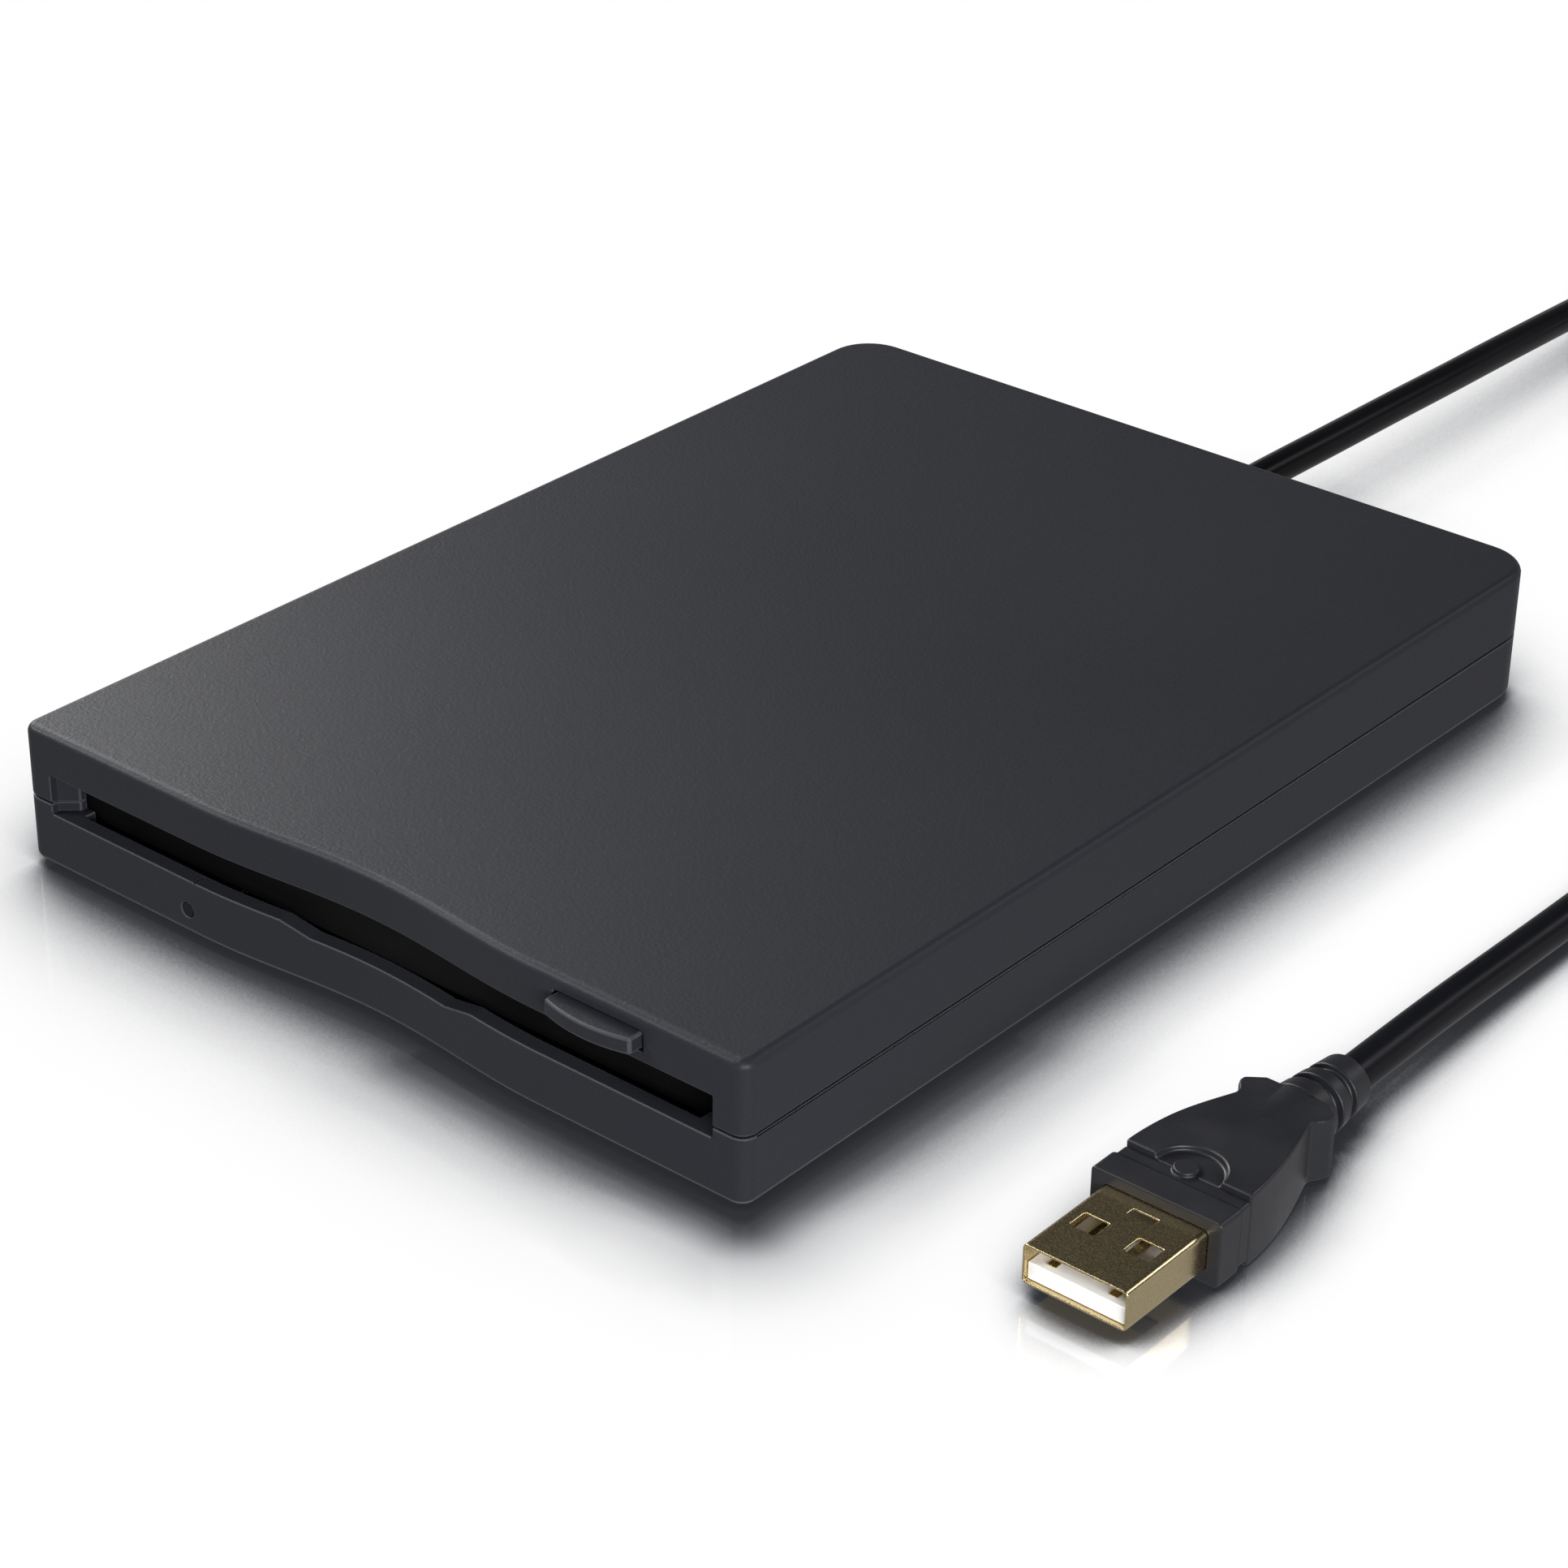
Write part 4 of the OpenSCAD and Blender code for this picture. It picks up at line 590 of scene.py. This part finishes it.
# ---------------------------------------------------------------------------
# Dust flap: moulded strip of dull black plastic just behind the mouth. Its end
# stubs turn in the upper shell, so that a disk pushes it inwards and up.
# ---------------------------------------------------------------------------
softened("dust_flap", "dust_flap_strip", "flap",
         surface("flap_black", (0.004, 0.004, 0.0045), 0.6, grain=0.0002, depth=0.00003,
                 spread=0.3, patch=0.01, specular=0.12), 0.0001)


# ---------------------------------------------------------------------------
# Eject button: bowed bar moulded in the case's plastic. It sits on the front
# end of the slider and moves freely in its notch.
# ---------------------------------------------------------------------------
softened("eject_button", "eject_button_bar", "slider", charcoal, 0.0003)


# ---------------------------------------------------------------------------
# Activity light: small light pipe of smoke-coloured plastic, set in its hole
# so that it ends flush with the lower front.
# ---------------------------------------------------------------------------
softened("activity_light", "activity_lamp", "case",
         surface("smoked_lens", (0.005, 0.005, 0.0055), 0.35, grain=0.0004, depth=0.000003,
                 spread=0.2, patch=0.001, specular=0.15), 0.0001)


# ---------------------------------------------------------------------------
# Cable: round rubber-sheathed lead, moulded into the boot at the rear wall. It
# lies on the table, its spare length wound in a flat coil behind the case.
# ---------------------------------------------------------------------------
sheath = surface("cable_sheath_rubber", (0.006, 0.0063, 0.0085), 0.3, grain=0.0006, depth=0.000002,
                 spread=0.15, patch=0.03, specular=0.11)
boot = softened("cable_boot", "cable_boot_moulding", "case", sheath, 0.0003)


def at(x, y, z):
    """A point in mm, y counted from the front face, as a place in the frame."""
    return Vector((x, y - front_face, z)) / 1000


def ease(u):
    u = min(1, max(0, u))
    return u * u * (3 - 2 * u)


# middle line of the sheath, as in the CAD: from the boot to the coil, which winds in on the
# table, climbs one layer and winds out on top, and from there to the plug
route = [(3.8, 152, 9.2), (3.8, 156, 9.2), (3.9, 162, 9.2), (4.1, 172, 9.1), (4.2, 182, 9),
         (4.2, 192, 8.8), (4.2, 202, 8.5), (4, 212, 8.2), (3.8, 222, 7.8), (3.5, 232, 7.3),
         (3.1, 242, 6.7), (2.7, 252, 5.8), (2.3, 262, 4.7), (2.1, 272, 3.6), (2, 282, 2.6),
         (2, 291.6, 2.1), (2, 295.8, 2.1)]
pitch = 4.7
turns = 2.5
steps = 24
lying = 2.1
ring = 23 + turns * pitch / 4
coil_x, coil_y = 2 + ring, 300
for i in range(1, int(steps * turns) + 1):
    turn = i / steps
    r = ring - pitch * min(turn, turns - turn)
    a = math.radians(180 - 360 * turn)
    lift = pitch * ease((turn - 1) / 0.5)
    route.append((coil_x + r * math.cos(a), coil_y + r * math.sin(a), lying + lift))
route += [(53.875, 295.8, 6.8), (53.875, 291.6, 6.8), (54.2, 281, 6.6), (55.3, 273, 6.3),
          (57.4, 265, 5.6), (60.2, 255, 4.8), (63.5, 245, 4), (67, 235, 3.2), (70.5, 225, 2.6),
          (73.8, 215, 2.2), (76.8, 205, 2.1), (79.4, 195, 2.1), (81.4, 185, 2.1), (82.8, 175, 2.1),
          (83.6, 165, 2.1), (84, 155, 2.1), (84.2, 145, 2.1), (84.2, 135, 2.1), (84.2, 125, 2.1),
          (84.2, 115, 2.1), (84.2, 105, 2.2), (84.2, 95, 2.4), (84.3, 85, 2.8), (84.5, 75, 3.4),
          (84.8, 65, 3.9), (85, 57, 4.1), (85, 53, 4.1)]
line = bpy.data.curves.new("cable_sheath", "CURVE")
line.dimensions = "3D"
line.bevel_depth = 0.0021
line.bevel_resolution = 6
line.use_fill_caps = True
spline = line.splines.new("NURBS")
spline.points.add(len(route) - 1)
for point, place in zip(spline.points, route):
    point.co = (*at(*place), 1)
spline.order_u = 4
spline.use_endpoint_u = True
spline.resolution_u = 6
cable = bpy.data.objects.new("cable_sheath", line)
bpy.context.collection.objects.link(cable)
line.materials.append(sheath)
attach(cable, "case")
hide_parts("cable_rear", "cable_coil", "cable_front")


# ---------------------------------------------------------------------------
# Plug body: ribbed relief, waisted grip with a scoop and a raised dot, and a
# collar, all moulded in satin black round the cable's end.
# ---------------------------------------------------------------------------
plug_black = surface("plug_black_plastic", (0.0155, 0.016, 0.0195), 0.4, grain=0.0003, depth=0.000008,
                     spread=0.15, patch=0.006, specular=0.35)
relief = softened("plug_relief", "plug_ribbed_relief", "case", plug_black, 0.0002)
grip = softened("plug_grip", "plug_waisted_grip", "case", plug_black, 0.0003)
collar = softened("plug_collar", "plug_front_collar", "case", plug_black, 0.0002)


# ---------------------------------------------------------------------------
# Plug shell: folded sheet metal, gold plated, with two square windows and a
# small slot; inside it the white tongue that carries four gold contacts.
# ---------------------------------------------------------------------------
gold = surface("gold_plated_sheet", (0.64, 0.52, 0.30), 0.25, metallic=1, grain=0.00015,
               depth=0.000001, spread=0.2, patch=0.00018)
shell = softened("plug_shell", "plug_metal_shell", "case", gold, 0.00012)
tongue = softened("plug_tongue", "plug_white_tongue", "case",
                  surface("white_moulding", (0.93, 0.93, 0.92), 0.45, grain=0.0004, depth=0.000006,
                          spread=0.03, patch=0.004), 0.0001)
contacts = softened("plug_contacts", "plug_gold_contacts", "case", gold, 0.00005)
